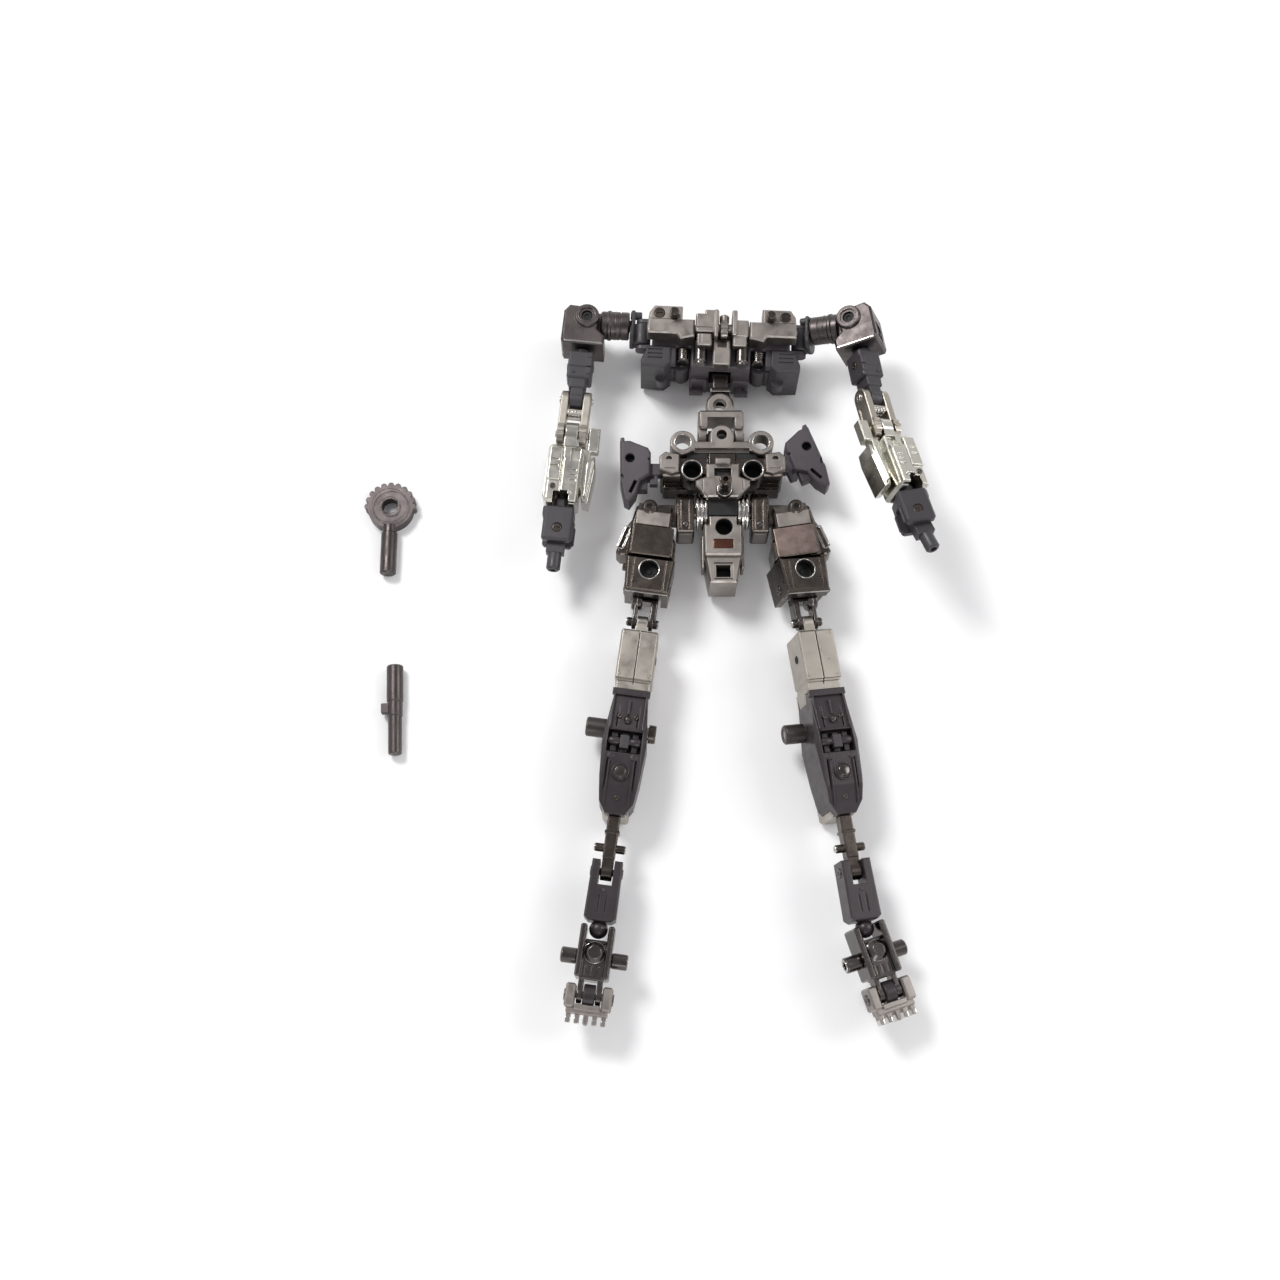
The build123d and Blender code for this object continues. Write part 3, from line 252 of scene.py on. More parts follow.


# edge is how much lighter each look's edges are made, partly for wear and partly as painted highlight.
LOOKS = {
    "warm_gunmetal": metal("warm_gunmetal", (0.30, 0.272, 0.250), rough=0.40, edge=1.7, grain=0.5,
                           patina=0.14),
    "dark_bronze": metal("dark_bronze", (0.088, 0.076, 0.068), rough=0.26, edge=2.3, grain=0.2,
                         patina=0.18, tint=(0.098, 0.082, 0.070)),
    "smoked_chrome": metal("smoked_chrome", (0.115, 0.104, 0.098), rough=0.20, edge=3.0, grain=0.2,
                           patina=0.2),
    "bright_chrome": metal("bright_chrome", (0.58, 0.56, 0.53), rough=0.15, edge=1.3, grain=0.06,
                           patina=0.12, specks=0.1),
    "champagne": metal("champagne", (0.40, 0.37, 0.325), rough=0.36, edge=1.6, grain=0.4, patina=0.08,
                       specks=0.2),
    "pale_gold": metal("pale_gold", (0.56, 0.545, 0.49), rough=0.20, edge=1.5, grain=0.04, patina=0.08,
                       specks=0.08),
    "dark_gunmetal": metal("dark_gunmetal", (0.090, 0.078, 0.076), rough=0.38, edge=2.6, grain=0.55,
                           patina=0.2),
    "charcoal": plastic("charcoal", (0.036, 0.033, 0.036), rough=0.44, edge=2.4),
    "plum_grey": plastic("plum_grey", (0.062, 0.053, 0.060), rough=0.46, edge=2.2),
    "plum_dark": plastic("plum_dark", (0.033, 0.026, 0.029), rough=0.34, edge=3.2, metallic=0.15),
    # Near-black look for the insides of holes, slots and gaps: painted shade where the light does not reach.
    "painted_shade_black": plastic("painted_shade_black", (0.0045, 0.0045, 0.005), rough=0.6, edge=1.3),
    "copper_window": metal("copper_window", (0.20, 0.085, 0.060), rough=0.16, edge=1.6, grain=0.1,
                           patina=0.35),
    # Lighter, rosier copy of dark_bronze, used only on the left thigh's front plate: painted reflection.
    "bronze_painted_reflection": metal("bronze_painted_reflection", (0.24, 0.185, 0.165), rough=0.34, edge=1.5, grain=0.8,
                         patina=0.28, tint=(0.30, 0.225, 0.20)),
}

NODE_LOOKS = {
    "warm_gunmetal": ["waist_crossbar", "pelvis_shield", "side_plates", "crotch_block", "waist_bracket",
                      "left_chest_plate", "right_chest_plate", "collar_block", "spine_plate",
                      "neck_post"],
    "dark_bronze": ["pelvis_frame", "front_peg", "chest_screws"],
    "bright_chrome": ["hip_rings"],
    "smoked_chrome": ["chest_pistons", "spine_bar"],
    "charcoal": ["waist_yoke", "left_chest_box", "right_chest_box"],
    "plum_grey": ["chest_core"],
    "dark_gunmetal": ["toothed_disc", "stepped_pin"],
}
LIMB_LOOKS = {
    "warm_gunmetal": ["toe_block"],
    "dark_bronze": ["hip_box", "thigh_upper", "thigh_lower", "ankle_rod"],
    "smoked_chrome": ["knee_link", "foot_clevis"],
    "champagne": ["elbow_link", "shin_block"],
    "pale_gold": ["forearm"],
    "dark_gunmetal": ["shoulder_drum", "shoulder_block"],
    "charcoal": ["shoulder_joint", "upper_arm", "wrist_block", "hand_peg"],
    "plum_grey": ["side_skirt"],
    "plum_dark": ["calf_cover", "ankle_fork"],
}
for look, names in LIMB_LOOKS.items():
    NODE_LOOKS[look] = NODE_LOOKS.get(look, []) + [f"{side}_{n}" for side in SIDES for n in names]
for look, names in NODE_LOOKS.items():
    for name in names:
        cad = frame["nodes"][name]
        cad.data.materials.clear()
        cad.data.materials.append(LOOKS[look])

# ---------------------------------------------------------------- mesh shapes, in millimetres

def hexagon(size):
    """Outline of a hexagon as a radius for each angle."""
    sector = math.pi / 3
    return lambda angle: size * math.cos(sector / 2) / math.cos(angle % sector - sector / 2)


def oblong(half_long, half_wide):
    """Outline of a rectangle as a radius for each angle."""
    return lambda angle: min(half_long / max(abs(math.cos(angle)), 1e-6),
                             half_wide / max(abs(math.sin(angle)), 1e-6))


def lofted(rings, segments=36, closed=False):
    """Mesh through rings of (radius or outline, height); open rings end in flat faces."""
    mesh = bmesh.new()
    loops = []
    for radius, height in rings:
        loop = []
        for i in range(segments):
            angle = math.tau * i / segments
            r = radius(angle) if callable(radius) else radius
            loop.append(mesh.verts.new((r * math.cos(angle), r * math.sin(angle), height)))
        loops.append(loop)
    pairs = list(zip(loops, loops[1:])) + ([(loops[-1], loops[0])] if closed else [])
    for low, high in pairs:
        for i in range(segments):
            j = (i + 1) % segments
            mesh.faces.new((low[i], low[j], high[j], high[i]))
    if not closed:
        mesh.faces.new(list(reversed(loops[0])))
        mesh.faces.new(loops[-1])
    return mesh


SUNK = 0.3                      # depth of a screw head's foot in its part
CUP_FLOOR = 0.15


def screw(radius, height, socket="hex", edge=0.12):
    """Round head with a bevelled rim and a hexagon socket, a slot or a low dome."""
    top = height - edge
    rings = [(radius, -SUNK), (radius, top), (radius - edge, height)]
    if socket == "hex":
        rings += [(hexagon(radius * 0.5), height), (hexagon(radius * 0.46), height * 0.35)]
    elif socket == "slot":
        cut = oblong(radius * 0.72, radius * 0.14)
        rings += [(cut, height), (cut, height * 0.4)]
    else:
        rings += [(radius * 0.55, height + edge * 0.5), (radius * 0.2, height + edge * 0.8)]
    return lofted(rings)


def rim(radius, thickness):
    """Round bead, thickness thick to each side of its middle line."""
    steps = 10
    turns = [math.tau * i / steps for i in range(steps)]
    return lofted([(radius + thickness * math.cos(t), thickness * math.sin(t)) for t in turns],
                  48, closed=True)


def cup(radius, depth, wall=0.12):
    """Blind lining of a round hole, with a small centre mark in its floor; it is always given the near-black look,
    as painted shade in the hole.
    """
    floor_z = CUP_FLOOR - depth
    return lofted([(radius, -depth), (radius, 0.0), (radius - wall, 0.0), (radius - wall, floor_z),
                   (radius * 0.3, floor_z), (radius * 0.25, 2 * CUP_FLOOR - depth)])


def roller(radius, length, ribs):
    """Bar with raised ribs along its length, centred on the origin."""
    rings = [(radius * 0.7, -length / 2)]
    pitch = length / ribs
    for i in range(ribs):
        start = -length / 2 + i * pitch
        rings += [(radius * 0.82, start), (radius, start + 0.2 * pitch), (radius, start + 0.7 * pitch),
                  (radius * 0.82, start + 0.9 * pitch)]
    return lofted(rings + [(radius * 0.7, length / 2)])


def slab(x, y, z, edge=0.1):
    """Bevelled box between limits."""
    mesh = bmesh.new()
    bmesh.ops.create_cube(mesh, size=1.0)
    for v in mesh.verts:
        v.co = [limits[0] + (c + 0.5) * (limits[1] - limits[0]) for c, limits in zip(v.co, (x, y, z))]
    bmesh.ops.bevel(mesh, geom=mesh.edges[:], offset=edge, segments=2, affect="EDGES", profile=0.6)
    return mesh


def pocket_frame(half_long, half_wide, wall, z):
    """Raised border of a long pocket, between the heights z."""
    outer = oblong(half_long, half_wide)
    inner = oblong(half_long - wall, half_wide - wall)
    return lofted([(outer, z[0]), (outer, z[1]), (inner, z[1]), (inner, z[0])], closed=True)


def skin(outline, x, edge=0.06):
    """Thin plate whose outline lies in YZ, between the limits x."""
    mesh = bmesh.new()
    near = [mesh.verts.new((x[0], y, z)) for y, z in outline]
    far = [mesh.verts.new((x[1], y, z)) for y, z in outline]
    mesh.faces.new(near)
    mesh.faces.new(list(reversed(far)))
    for i in range(len(outline)):
        j = (i + 1) % len(outline)
        mesh.faces.new((near[j], near[i], far[i], far[j]))
    bmesh.ops.bevel(mesh, geom=mesh.edges[:], offset=edge, segments=2, affect="EDGES", profile=0.6)
    return mesh


# ---------------------------------------------------------------- seats

def at(joint):
    """Place of a joint in the frame."""
    return Vector(JOINTS[joint]["pos_m"])


def axis(joint):
    """Direction of a joint's axis."""
    return Vector(JOINTS[joint]["axis"])


def mount(name):
    """One of the record's mounts."""
    return next(m for m in frame["record"]["mounts"] if m["name"] == name)


def seat(origin, side, x=None, y=None, z=None):
    """Matrix from a body's millimetres, X outwards, to the frame; two axes are enough."""
    if z is None:
        z = side * x.cross(y)
    elif x is None:
        x = side * y.cross(z)
    else:
        y = side * z.cross(x)
    turn = Matrix((x.normalized(), y.normalized(), z.normalized())).transposed().to_4x4()
    return Matrix.Translation(origin) @ turn @ Matrix.Scale(MM, 4)


def limb_seats(name, side):
    """Seats of all bodies of one arm and one leg."""
    def j(joint):
        return f"{name}_{joint}"

    def spin(joint):
        return side * axis(j(joint))

    arm_x = -side * axis(j("elbow_upper"))
    knee_x = side * axis(j("knee_upper"))
    thigh_y = axis(j("thigh_twist"))
    thigh_y = thigh_y if thigh_y.dot(at(j("hip_spread")) - at(j("thigh_twist"))) > 0 else -thigh_y
    shin_y = at(j("knee_lower")) - at(j("ankle_pitch"))
    return {
        "shoulder_turner": seat(at(j("shoulder_turn")), side, x=-side * axis(j("shoulder_turn")),
                                z=spin("arm_raise")),
        "shoulder": seat(at(j("arm_raise")), side, y=spin("arm_twist"), z=spin("arm_raise")),
        "upper_arm_link": seat(at(j("arm_twist")), side, x=arm_x, y=spin("arm_twist")),
        "elbow": seat(at(j("elbow_upper")), side, x=arm_x, y=at(j("elbow_upper")) - at(j("elbow_lower"))),
        "forearm_link": seat(at(j("elbow_lower")), side, x=arm_x, y=spin("wrist_twist")),
        "wrist": seat(at(j("wrist_twist")), side, y=spin("wrist_twist"), z=spin("hand_tilt")),
        "hip": seat(at(j("hip_swing")), side, x=-side * axis(j("hip_swing")), z=spin("hip_spread")),
        "thigh": seat(at(j("hip_spread")), side, y=thigh_y, z=spin("hip_spread")),
        "lower_thigh": seat(at(j("thigh_twist")), side, x=knee_x, y=thigh_y),
        "knee": seat(at(j("knee_upper")), side, x=knee_x, y=at(j("knee_upper")) - at(j("knee_lower"))),
        "shin": seat(at(j("knee_lower")), side, x=knee_x, y=shin_y),
        "ankle": seat(at(j("ankle_pitch")), side, x=knee_x, y=at(j("ankle_pitch")) - at(j("foot_roll"))),
        "foot": seat(at(j("foot_roll")), side, y=at(j("foot_roll")) - at(j("toe_bend")),
                     z=spin("foot_roll")),
        "toe": seat(at(j("toe_bend")), side, x=side * axis(j("toe_bend")), z=spin("foot_roll")),
    }


ACROSS = Vector((1, 0, 0))
UP_BODY = Vector((0, 1, 0))
CHEST_ACROSS = at("left_shoulder_forward") - at("right_shoulder_forward")


def trunk_seat(body, side):
    """Seat of the pelvis or chest with X towards one side."""
    if body == "pelvis":
        return seat(HIPS, side, x=side * ACROSS, y=UP_BODY)
    return seat(at("chest_lean"), side, x=side * CHEST_ACROSS, z=axis("chest_lean"))


SKIRT_HOLE = (8.6, 2.4)         # middle of the skirt's round hole, in the skirt's seat


def skirt_seat(tag, side):
    """Seat of a side skirt, from its hinge and its round hole."""
    hole = mount(f"{tag}_skirt_hole")
    z = Vector(hole["axis"])
    arm = Vector(hole["pos_m"]) - at(f"{tag}_skirt_flare")
    back = -side * math.atan2(SKIRT_HOLE[1], SKIRT_HOLE[0])
    x = Matrix.Rotation(back, 3, z) @ (arm - arm.dot(z) * z)
    return seat(at(f"{tag}_skirt_flare"), side, x=x, z=z)


FACING = {"z": Matrix.Identity(4), "-z": Matrix.Rotation(math.pi, 4, "X"),
          "x": Matrix.Rotation(math.pi / 2, 4, "Y"), "-x": Matrix.Rotation(-math.pi / 2, 4, "Y"),
          "-y": Matrix.Rotation(math.pi / 2, 4, "X")}


SHARP_ANGLE = math.radians(32)  # smooth pieces keep the edges that are sharper than this


def fit(name, body, place, mesh, look, spot=(0, 0, 0), facing="z", *, slot, turn=0.0, smooth=True):
    """Finish a mesh as a piece that rides on a body, at a spot in the body's seat."""
    mesh.transform(place @ Matrix.Translation(spot) @ FACING[facing] @ Matrix.Rotation(turn, 4, "Z"))
    bmesh.ops.recalc_face_normals(mesh, faces=mesh.faces[:])
    data = bpy.data.meshes.new(name)
    mesh.to_mesh(data)
    mesh.free()
    data.materials.append(LOOKS[look])
    piece = bpy.data.objects.new(name, data)
    bpy.context.scene.collection.objects.link(piece)
    if smooth:
        data.shade_smooth()
        data.set_sharp_from_angle(angle=SHARP_ANGLE)
    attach(piece, body)


# ---------------------------------------------------------------- trunk pieces

def dress_pelvis_side(tag, side):
    """Armour socket, plate screw and ring lug of one half of the pelvis."""
    place = trunk_seat("pelvis", side)
    # Near-black cup in the armour socket: painted shade at the bottom of the hole.
    fit(f"{tag}_socket_shade", "pelvis", place, cup(2.17, 4.6), "painted_shade_black", (7.2, 8.4, 6.3),
        slot="pelvis_frame")
    fit(f"{tag}_socket_rim", "pelvis", place, rim(2.35, 0.14), "bright_chrome", (7.2, 8.4, 6.4),
        slot="hip_rings")
    fit(f"{tag}_plate_screw", "pelvis", place, screw(0.62, 0.35, "slot"), "dark_bronze",
        (12.6, 11.3, 5.4), slot="pelvis_frame")
    fit(f"{tag}_lug_rim", "pelvis", place, rim(2.0, 0.12), "bright_chrome", (9.3, 15.9, 5.2),
        slot="hip_rings")


def dress_chest_side(tag, side):
    """Rivet, screw rim, intake screw and piston ribs of one half of the chest."""
    place = trunk_seat("chest", side)
    fit(f"{tag}_chest_rivet", "chest", place, screw(0.42, 0.3, "dome"), "warm_gunmetal",
        (7.7, 5.9, -1.0), slot="left_chest_plate")
    fit(f"{tag}_screw_rim", "chest", place, rim(1.42, 0.1), "bright_chrome", (15.2, 8.9, -1.0),
        slot="hip_rings")
    fit(f"{tag}_intake_screw", "chest", place, screw(0.8, 0.3), "dark_bronze", (9.4, -0.6, 1.0),
        slot="chest_screws")
    fit(f"{tag}_piston_rib", "chest", place, roller(1.86, 1.5, 3), "smoked_chrome", (9.0, 0.9, 3.0), "-y",
        slot="chest_pistons")


CROTCH_HOLE_Y = -15.9           # middle of the square hole in the crotch block
CROTCH_STEPS = ((2.25, 3.5), (1.95, 3.0))       # half width and top of each frame round it


def dress_pelvis_middle():
    """Copper window, wells darkened with painted shade and bright steps on the middle line of the pelvis."""
    place = trunk_seat("pelvis", 1)

    def flat(name, mesh, look, slot="pelvis_frame"):
        fit(name, "pelvis", place, mesh, look, slot=slot, smooth=False)

    flat("crotch_window", slab((-2.35, 2.35), (-10.75, -8.45), (4.3, 4.62), 0.12), "copper_window",
         "crotch_block")
    # Near-black cup and sheet in the round and square holes: painted shade.
    fit("crotch_hole_shade", "pelvis", place, cup(2.07, 4.4), "painted_shade_black", (0.2, -5.4, 4.5), slot="pelvis_frame")
    flat("crotch_square_shade", slab((-1.65, 1.65), (-17.35, -14.45), (-1.9, -0.4)), "painted_shade_black")
    for level, (half, top) in enumerate(CROTCH_STEPS):
        for end, sign in (("low", -1), ("high", 1)):
            y = CROTCH_HOLE_Y + sign * half - sign * 0.3
            flat(f"crotch_step_{level}_{end}",
                 slab((-half, half), (y - 0.12, y + 0.12), (top - 0.3, top), 0.05), "smoked_chrome",
                 "crotch_block")
    # Near-black sheets in the belt gap, shield slot and crotch gap: painted shade.
    flat("belt_gap_shade", slab((-8.4, 8.4), (12.1, 13.65), (1.6, 3.9)), "painted_shade_black")
    flat("shield_slot_shade", slab((-1.95, 1.95), (6.65, 8.55), (5.3, 5.5)), "painted_shade_black")
    flat("crotch_gap_shade", slab((-3.4, 3.4), (-2.5, 1.2), (4.4, 4.75)), "painted_shade_black")
    fit("front_peg_collar", "pelvis", place, rim(1.62, 0.16), "bright_chrome", (0.3, 2.9, 7.7),
        slot="front_peg")


for side_name, side_sign in SIDES.items():
    dress_pelvis_side(side_name, side_sign)
    dress_chest_side(side_name, side_sign)
dress_pelvis_middle()

# ---------------------------------------------------------------- limb pieces

THIGH_TOP_SKIN = [(1.75, 2.95), (-1.15, 5.72), (-4.55, 5.85), (-4.55, 5.55), (-1.1, 5.5), (1.6, 2.9)]
THIGH_FRONT_SKIN = [(-4.95, 6.25), (-11.95, 6.66), (-11.95, 6.5), (-4.95, 6.1)]
CALF_WALL = [(-18.8, 4.1), (-18.8, 5.0), (-27.1, 6.1), (-27.1, 5.2)]
CALF_RIDGE = [(-34.4, 5.2), (-34.4, 5.85), (-40.0, 5.2), (-44.3, 3.85), (-44.3, 3.3), (-40.0, 4.6)]
CALF_WALL_X = 3.7               # middle of the calf's side walls
RIDGE_SHARE = 0.75              # the ridges stand this share as far from the middle as the walls
POCKET = (6.9, -7.6)            # middle of the long pocket in the thigh's outer panel
POCKET_TURN = 14                # lean of the pocket, in degrees
SKIRT_SLOT_TURN = 24            # lean of the skirt's slot, in degrees
SHAFT_Y = -25.6                 # cross shaft of the shin
SHAFT_Z = -2.6
CLAWS = 5
CLAW_PITCH = 1.95


class Limb:
    """Arm, skirt and leg of one side, with the seats of their bodies."""

    def __init__(self, tag, side):
        self.tag = tag
        self.side = side
        self.seats = limb_seats(tag, side)
        self.seats["skirt"] = skirt_seat(tag, side)

    def add(self, name, body, mesh, look, slot, spot=(0, 0, 0), facing="z", **more):
        """Piece on a body of this side, with smooth shading."""
        fit(f"{self.tag}_{name}", f"{self.tag}_{body}", self.seats[body], mesh, look, spot, facing,
            slot=f"{self.tag}_{slot}", **more)

    def flat(self, name, body, mesh, look, slot, spot=(0, 0, 0), turn=0.0):
        """Piece on a body of this side, with flat faces."""
        self.add(name, body, mesh, look, slot, spot, turn=turn, smooth=False)

    def caps(self, name, body, radius, height, look, slot, spot, mark=""):
        """The same screw head at the outer and the inner end of a cross pin."""
        x, y, z = spot
        self.add(f"{name}_out{mark}", body, screw(radius, height), look, slot, (x, y, z), "x")
        self.add(f"{name}_in{mark}", body, screw(radius, height), look, slot, (-x, y, z), "-x")


def dress_shoulder(limb):
    """Front boss with its hole in painted shade, a bright chrome strip as painted highlight on the lower edge,
    back screw and side rivets of the shoulder block.
    """
    # Near-black piece in the boss: painted shade inside the hole.
    limb.add("boss_hole_shade", "shoulder", screw(1.33, 0.5, "hex"), "painted_shade_black", "shoulder_joint", (0, 0, 4.0))
    limb.add("boss_rim", "shoulder", rim(2.05, 0.12), "smoked_chrome", "knee_link", (0, 0, 5.3))
    # Bright chrome strip along the block's lower edge: painted highlight where the edge catches the light.
    limb.flat("shoulder_edge_highlight", "shoulder", slab((-4.3, 4.9), (-7.02, -6.66), (4.45, 4.7), 0.08),
              "bright_chrome", "knee_link")
    limb.add("shoulder_back_screw", "shoulder", screw(1.3, 0.35, "slot"), "dark_bronze", "thigh_upper",
             (1.2, -1.2, -5.0), "-z")
    for k, z in enumerate((-1.6, 1.6)):
        limb.add(f"shoulder_side_rivet_{k}", "shoulder", screw(0.55, 0.3, "dome"), "dark_gunmetal",
                 "shoulder_block", (5.3, -3.7, z), "x")
    limb.add("drum_band", "shoulder_turner", rim(3.42, 0.12), "smoked_chrome", "knee_link", (3.6, 0, 0),
             "x")


def dress_upper_arm(limb):
    """Screws and rivet of the upper arm, and the caps and roller of the double elbow."""
    limb.caps("arm_screw", "upper_arm_link", 0.95, 0.3, "dark_bronze", "thigh_upper", (2.95, -4.6, 0))
    limb.add("arm_rivet", "upper_arm_link", screw(0.42, 0.25, "dome"), "charcoal", "upper_arm",
             (1.4, -7.0, 2.9))
    for k, y in enumerate((0, -9.0)):
        limb.caps("elbow_cap", "elbow", 0.88, 0.3, "bright_chrome", "elbow_link", (3.75, y, 0), f"_{k}")
    limb.add("elbow_roller", "elbow", roller(1.15, 3.3, 4), "bright_chrome", "elbow_link",
             (0, -3.75, 0.9), "x")


def dress_forearm(limb):
    """Side panel, screws and slotted back plate of the forearm, and the wrist's caps."""
    limb.flat("forearm_panel", "forearm_link", slab((4.6, 4.95), (-17.2, -7.4), (-2.7, 2.7), 0.14),
              "pale_gold", "forearm")
    for k, y in enumerate((-15.8, -8.8)):
        limb.add(f"forearm_side_screw_{k}", "forearm_link", screw(0.7, 0.3), "smoked_chrome", "knee_link",
                 (4.95, y, 0), "x")
    limb.add("forearm_screw", "forearm_link", screw(0.72, 0.3, "slot"), "smoked_chrome", "knee_link",
             (2.8, -15.0, 4.2), turn=0.7)
    limb.add("hump_screw", "forearm_link", screw(0.6, 0.25), "pale_gold", "forearm", (-1.5, -16.6, 5.0))
    limb.flat("forearm_back_plate", "forearm_link",
              slab((-2.2, 3.4), (-17.0, -6.2), (-4.5, -4.1), 0.15), "pale_gold", "forearm")
    # Near-black sheets in the back plate's slots: painted shade.
    for k, y in enumerate((-14.6, -12.0, -9.4)):
        limb.flat(f"forearm_back_slot_{k}", "forearm_link",
                  slab((-1.2, 2.4), (y - 0.3, y + 0.3), (-4.58, -4.3), 0.05), "painted_shade_black", "upper_arm")
    limb.add("wrist_cap", "wrist", screw(1.15, 0.35, "slot"), "dark_bronze", "thigh_upper",
             (0, -8.5, 2.9))
    limb.add("wrist_back_cap", "wrist", screw(1.15, 0.3, "slot"), "dark_bronze", "thigh_upper",
             (0, -8.5, -3.4), "-z")


def dress_hip(limb):
    """Screw and low plate of the hip block."""
    limb.add("hip_screw", "hip", screw(0.75, 0.3), "smoked_chrome", "knee_link", (2.5, -4.6, 4.4))
    limb.flat("hip_low_plate", "hip", slab((1.0, 4.2), (-6.62, -6.3), (-3.0, 3.0), 0.08),
              "warm_gunmetal", "toe_block")


def dress_skirt(limb):
    """Hole and slot of the side skirt, darkened with painted shade, with its upper hook and lower block."""
    # Near-black cup and sheet in the round hole and the slot: painted shade.
    limb.add("skirt_hole_shade", "skirt", cup(1.16, 1.9), "painted_shade_black", "upper_arm", (*SKIRT_HOLE, 2.5))
    limb.flat("skirt_slot_shade", "skirt", slab((-0.4, 0.4), (-1.65, 1.65), (0.4, 1.2)), "painted_shade_black",
              "upper_arm", (7.9, -4.9, 0), math.radians(SKIRT_SLOT_TURN))
    limb.flat("skirt_hook", "skirt", slab((9.9, 10.9), (6.2, 7.9), (-1.0, 2.2), 0.3), "plum_grey",
              "side_skirt")
    limb.flat("skirt_block", "skirt", slab((4.4, 6.8), (-5.2, -2.2), (-2.0, 0.9), 0.25), "charcoal",
              "upper_arm")


def dress_thigh(limb):
    """Light and dark plates, bright pocket and back screw of the thigh."""
    limb.flat("thigh_top_skin", "thigh", skin(THIGH_TOP_SKIN, (-3.1, 4.6)), "warm_gunmetal", "toe_block")
    # The left front plate gets the lighter bronze copy, a painted reflection; the right one keeps dark bronze.
    front_look = "bronze_painted_reflection" if limb.side > 0 else "dark_bronze"
    limb.flat("thigh_front_skin", "thigh", skin(THIGH_FRONT_SKIN, (-4.5, 4.9)), front_look, "thigh_upper")
    # Near-black socket in the knob: painted shade.
    limb.add("knob_socket", "thigh", screw(0.66, 0.35), "painted_shade_black", "upper_arm", (1.9, 0, 5.6))
    for k, shift in enumerate((-0.52, 0.52)):
        rail = slab((shift - 0.12, shift + 0.12), (-2.6, 2.6), (0.0, 0.95), 0.05)
        limb.flat(f"pocket_rail_{k}", "thigh", rail, "bright_chrome", "knee_link", (*POCKET, 2.75),
                  math.radians(POCKET_TURN))
    limb.flat("pocket_frame", "thigh", pocket_frame(3.0, 0.95, 0.25, (3.3, 3.65)), "bright_chrome",
              "knee_link", (*POCKET, 0), math.radians(90 + POCKET_TURN))
    limb.add("thigh_back_screw", "thigh", screw(1.25, 0.3, "slot"), "smoked_chrome", "knee_link",
             (1.0, -8.0, -5.4), "-z")


def dress_knee(limb):
    """Front socket, bright lip and screws of the lower thigh, and the double knee's caps."""
    # Near-black cup in the front socket: painted shade at the bottom of the hole.
    limb.add("socket_shade", "lower_thigh", cup(2.16, 2.4), "painted_shade_black", "upper_arm", (0, -3.3, 5.9))
    limb.add("socket_rim", "lower_thigh", rim(2.35, 0.13), "bright_chrome", "knee_link", (0, -3.3, 6.0))
    limb.flat("knee_lip", "lower_thigh", slab((-4.9, 4.9), (-9.18, -8.9), (5.35, 5.68), 0.07),
              "bright_chrome", "knee_link")
    limb.caps("knee_screw", "lower_thigh", 1.2, 0.3, "smoked_chrome", "knee_link", (5.2, -6.2, 0))
    limb.caps("knee_cap", "knee", 0.9, 0.28, "bright_chrome", "knee_link", (3.58, -8.3, 0))
    limb.add("knee_bead", "knee", rim(2.35, 0.1), "bright_chrome", "knee_link", (1.8, -3.0, 0), "x")


def dress_shin(limb):
    """Rivets, cross shaft and side holes of the shin block."""
    for k, (x, y) in enumerate(((3.5, -4.1), (3.5, -14.0), (-3.5, -4.1), (-3.5, -14.0))):
        limb.add(f"shin_rivet_{k}", "shin", screw(0.36, 0.2, "dome"), "champagne", "shin_block",
                 (x, y, 4.8))
    # The drum is on the robot's right of both legs: outside on the right one, inside on the left.
    drum_side = -limb.side
    drum_facing, nut_facing = ("x", "-x") if drum_side > 0 else ("-x", "x")
    limb.add("shaft_drum", "shin", screw(2.26, 4.25, "hex", 0.3), "dark_gunmetal", "shoulder_block",
             (drum_side * 5.3, SHAFT_Y, SHAFT_Z), drum_facing)
    limb.add("shaft_nut", "shin", screw(2.16, 1.35, "slot", 0.2), "dark_bronze", "ankle_rod",
             (-drum_side * 5.25, SHAFT_Y, SHAFT_Z), nut_facing)
    # Near-black discs in the side holes: painted shade.
    limb.caps("shin_side_hole", "shin", 0.95, 0.15, "painted_shade_black", "upper_arm", (4.3, -9.0, 0.6))


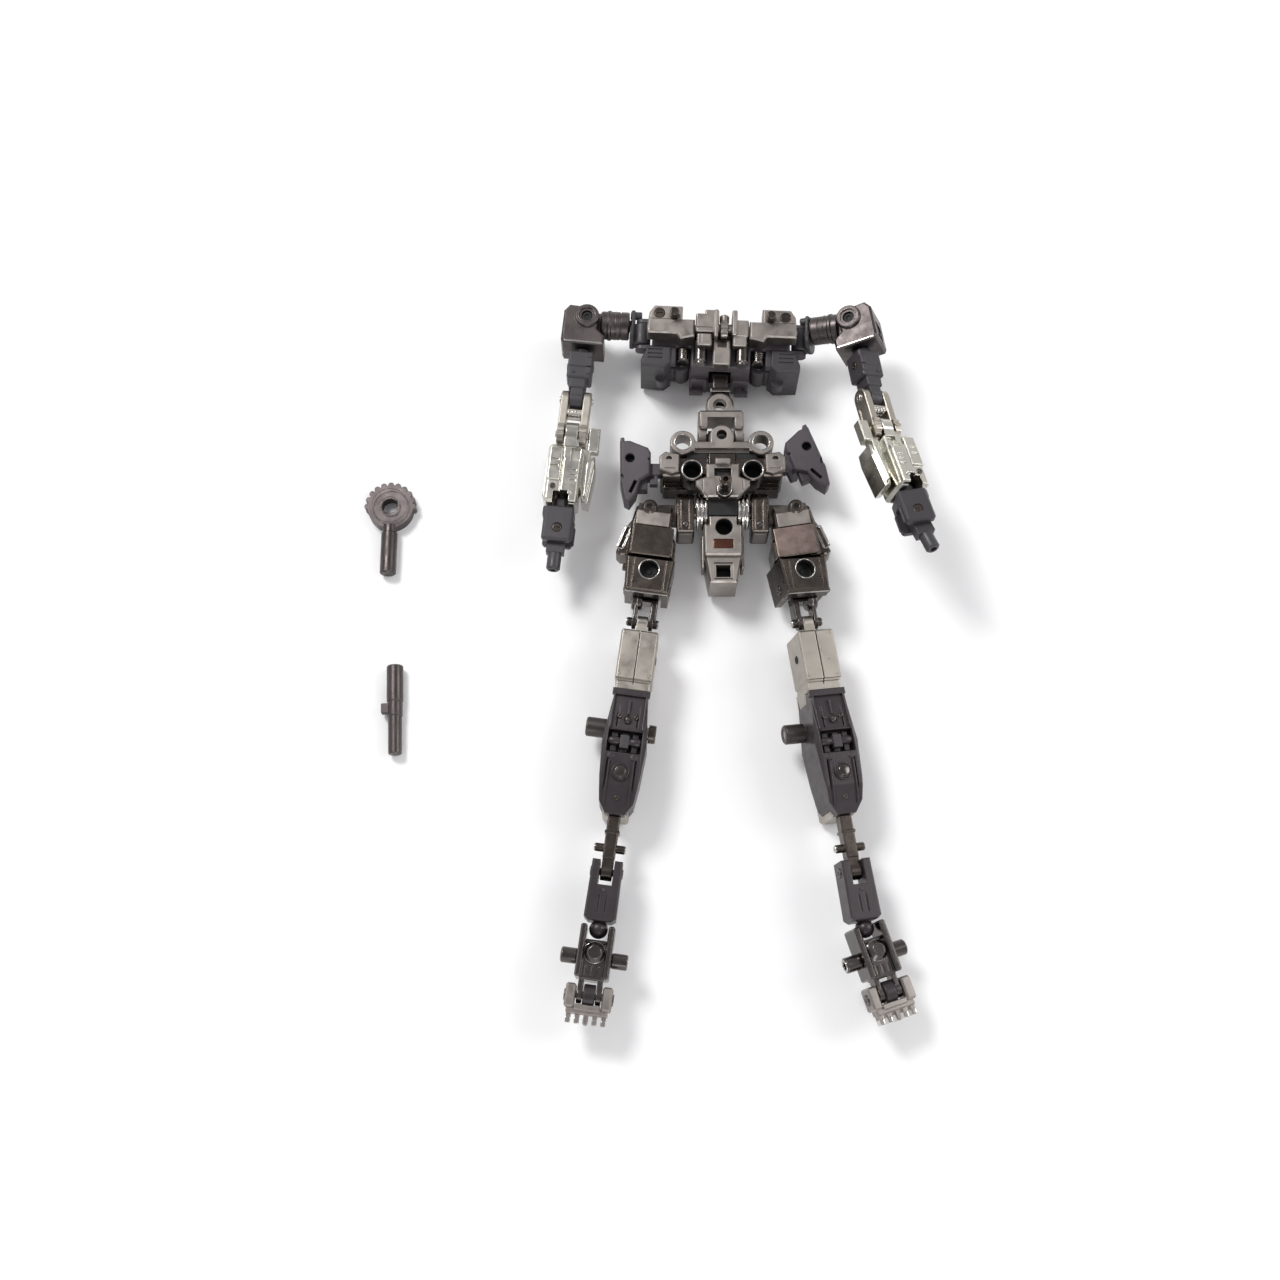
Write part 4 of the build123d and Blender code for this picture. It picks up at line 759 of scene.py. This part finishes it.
def dress_calf(limb):
    """Collar, walls, ridges, window barrel, ball and bolts of the calf cover."""
    for k, x in enumerate((-1.9, 1.9)):
        limb.add(f"calf_pin_{k}", "shin", screw(0.5, 0.4, "hex"), "dark_bronze", "ankle_rod",
                 (x, -24.2, 5.0))
    limb.add("calf_bolt_ring", "shin", rim(1.85, 0.13), "dark_gunmetal", "shoulder_block", (0, -37.0, 5.35))
    limb.add("calf_bolt_head", "shin", screw(1.3, 0.6, "dome"), "smoked_chrome", "knee_link",
             (0, -37.0, 5.75))
    limb.flat("calf_collar", "shin", slab((-4.3, 4.3), (-19.0, -17.5), (3.4, 5.0), 0.15), "plum_dark",
              "calf_cover")
    limb.flat("calf_stem", "shin", slab((-0.25, 0.25), (-23.6, -20.2), (4.2, 5.3), 0.08), "plum_dark",
              "calf_cover")
    limb.add("calf_ball", "shin", screw(0.85, 1.0, "dome", 0.3), "dark_gunmetal", "shoulder_block",
             (0, -24.9, 5.0))
    limb.add("calf_barrel", "shin", roller(1.0, 7.3, 3), "plum_dark", "calf_cover", (0, -29.8, 4.55), "x")
    limb.flat("calf_barrel_block", "shin", slab((-1.0, 1.0), (-31.5, -28.5), (3.9, 5.75), 0.15),
              "charcoal", "upper_arm")
    for k, x in enumerate((-CALF_WALL_X, CALF_WALL_X)):
        wall = skin(CALF_WALL, (x - 0.22, x + 0.22), 0.08)
        ridge_x = RIDGE_SHARE * x
        ridge = skin(CALF_RIDGE, (ridge_x - 0.2, ridge_x + 0.2), 0.09)
        limb.flat(f"calf_wall_{k}", "shin", wall, "plum_dark", "calf_cover")
        limb.flat(f"calf_ridge_{k}", "shin", ridge, "plum_dark", "calf_cover")
    limb.add("calf_foot_screw", "shin", screw(0.6, 0.3, "slot"), "dark_bronze", "ankle_rod",
             (0, -42.6, 3.9))
    # Near-black sheet on the floor of the window: painted shade under the barrel.
    limb.flat("calf_window_floor", "shin", slab((-3.7, 3.7), (-32.4, -27.6), (3.15, 3.35)), "painted_shade_black",
              "upper_arm")


def dress_ankle(limb):
    """Screws down the back of the shin, and the caps and rivet of the double ankle."""
    for k, y in enumerate((-42.0, -34.0, -22.0)):
        limb.add(f"shin_back_screw_{k}", "shin", screw(0.9, 0.2, "slot"), "smoked_chrome", "knee_link",
                 (0, y, -8.45), "-z")
    limb.caps("ankle_cap", "shin", 0.82, 0.25, "bright_chrome", "knee_link", (3.38, -53.6, 0.2))
    limb.caps("fork_cap", "ankle", 1.15, 0.3, "smoked_chrome", "knee_link", (3.4, 0, 0))
    limb.add("fork_rivet", "ankle", screw(0.5, 0.25, "dome"), "charcoal", "ankle_fork", (0, -4.4, 2.8))


def dress_foot(limb):
    """Ring, bridge and pin rims of the foot, and the toe's barrel, caps and claw tips."""
    limb.add("dome_ring", "foot", rim(2.32, 0.12), "bright_chrome", "knee_link", (0, -5.4, 2.6))
    limb.flat("foot_bridge", "foot", slab((-2.3, 2.3), (-3.5, -2.5), (-1.6, 1.9), 0.2), "smoked_chrome",
              "foot_clevis")
    barrel = lofted([(2.36, -1.29), (2.52, -1.1), (2.52, 1.1), (2.36, 1.29)])
    limb.add("toe_barrel", "toe", barrel, "plum_dark", "ankle_fork", facing="x")
    for label, x in (("out", 7.35), ("in", -7.35)):
        limb.add(f"foot_pin_rim_{label}", "foot", rim(1.2, 0.18), "bright_chrome", "knee_link",
                 (x, -6.4, 0), "x")
    limb.caps("toe_cap", "toe", 1.3, 0.3, "smoked_chrome", "knee_link", (5.2, -0.3, 0))
    for k in range(CLAWS):
        x = CLAW_PITCH * (k - CLAWS // 2)
        limb.flat(f"claw_tip_{k}", "toe", slab((x - 0.56, x + 0.56), (-6.3, -5.0), (-1.15, 1.2), 0.2),
                  "bright_chrome", "toe_block")


for side_name, side_sign in SIDES.items():
    one_side = Limb(side_name, side_sign)
    for dress in (dress_shoulder, dress_upper_arm, dress_forearm, dress_hip, dress_skirt, dress_thigh,
                  dress_knee, dress_shin, dress_calf, dress_ankle, dress_foot):
        dress(one_side)

# ---------------------------------------------------------------- loose pieces

bore = Vector(mount("disc_bore")["pos_m"])
disc_top = Matrix.Translation((bore.x, bore.y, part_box("toothed_disc")[1].z)) @ Matrix.Scale(MM, 4)
fit("disc_hub_rim", "loose_disc", disc_top, rim(2.15, 0.1), "smoked_chrome", slot="toothed_disc")
fit("disc_face_ring", "loose_disc", disc_top, rim(4.3, 0.07), "dark_gunmetal", slot="toothed_disc")

# ---------------------------------------------------------------- floor

FLOOR_HALF = 3.0                # half width in metres

floor_mesh = bpy.data.meshes.new("floor")
shell = bmesh.new()
bmesh.ops.create_grid(shell, x_segments=2, y_segments=2, size=FLOOR_HALF)
shell.to_mesh(floor_mesh)
shell.free()
floor = bpy.data.objects.new("floor", floor_mesh)
bpy.context.scene.collection.objects.link(floor)
floor_look = Graph("table")
floor_look.feed(floor_look.shader.inputs["Base Color"],
                floor_look.mix(floor_look.noise(60.0), (0.93, 0.93, 0.93, 1), (0.95, 0.95, 0.95, 1)))
floor_look.shader.inputs["Roughness"].default_value = 0.6
floor_mesh.materials.append(floor_look.material)
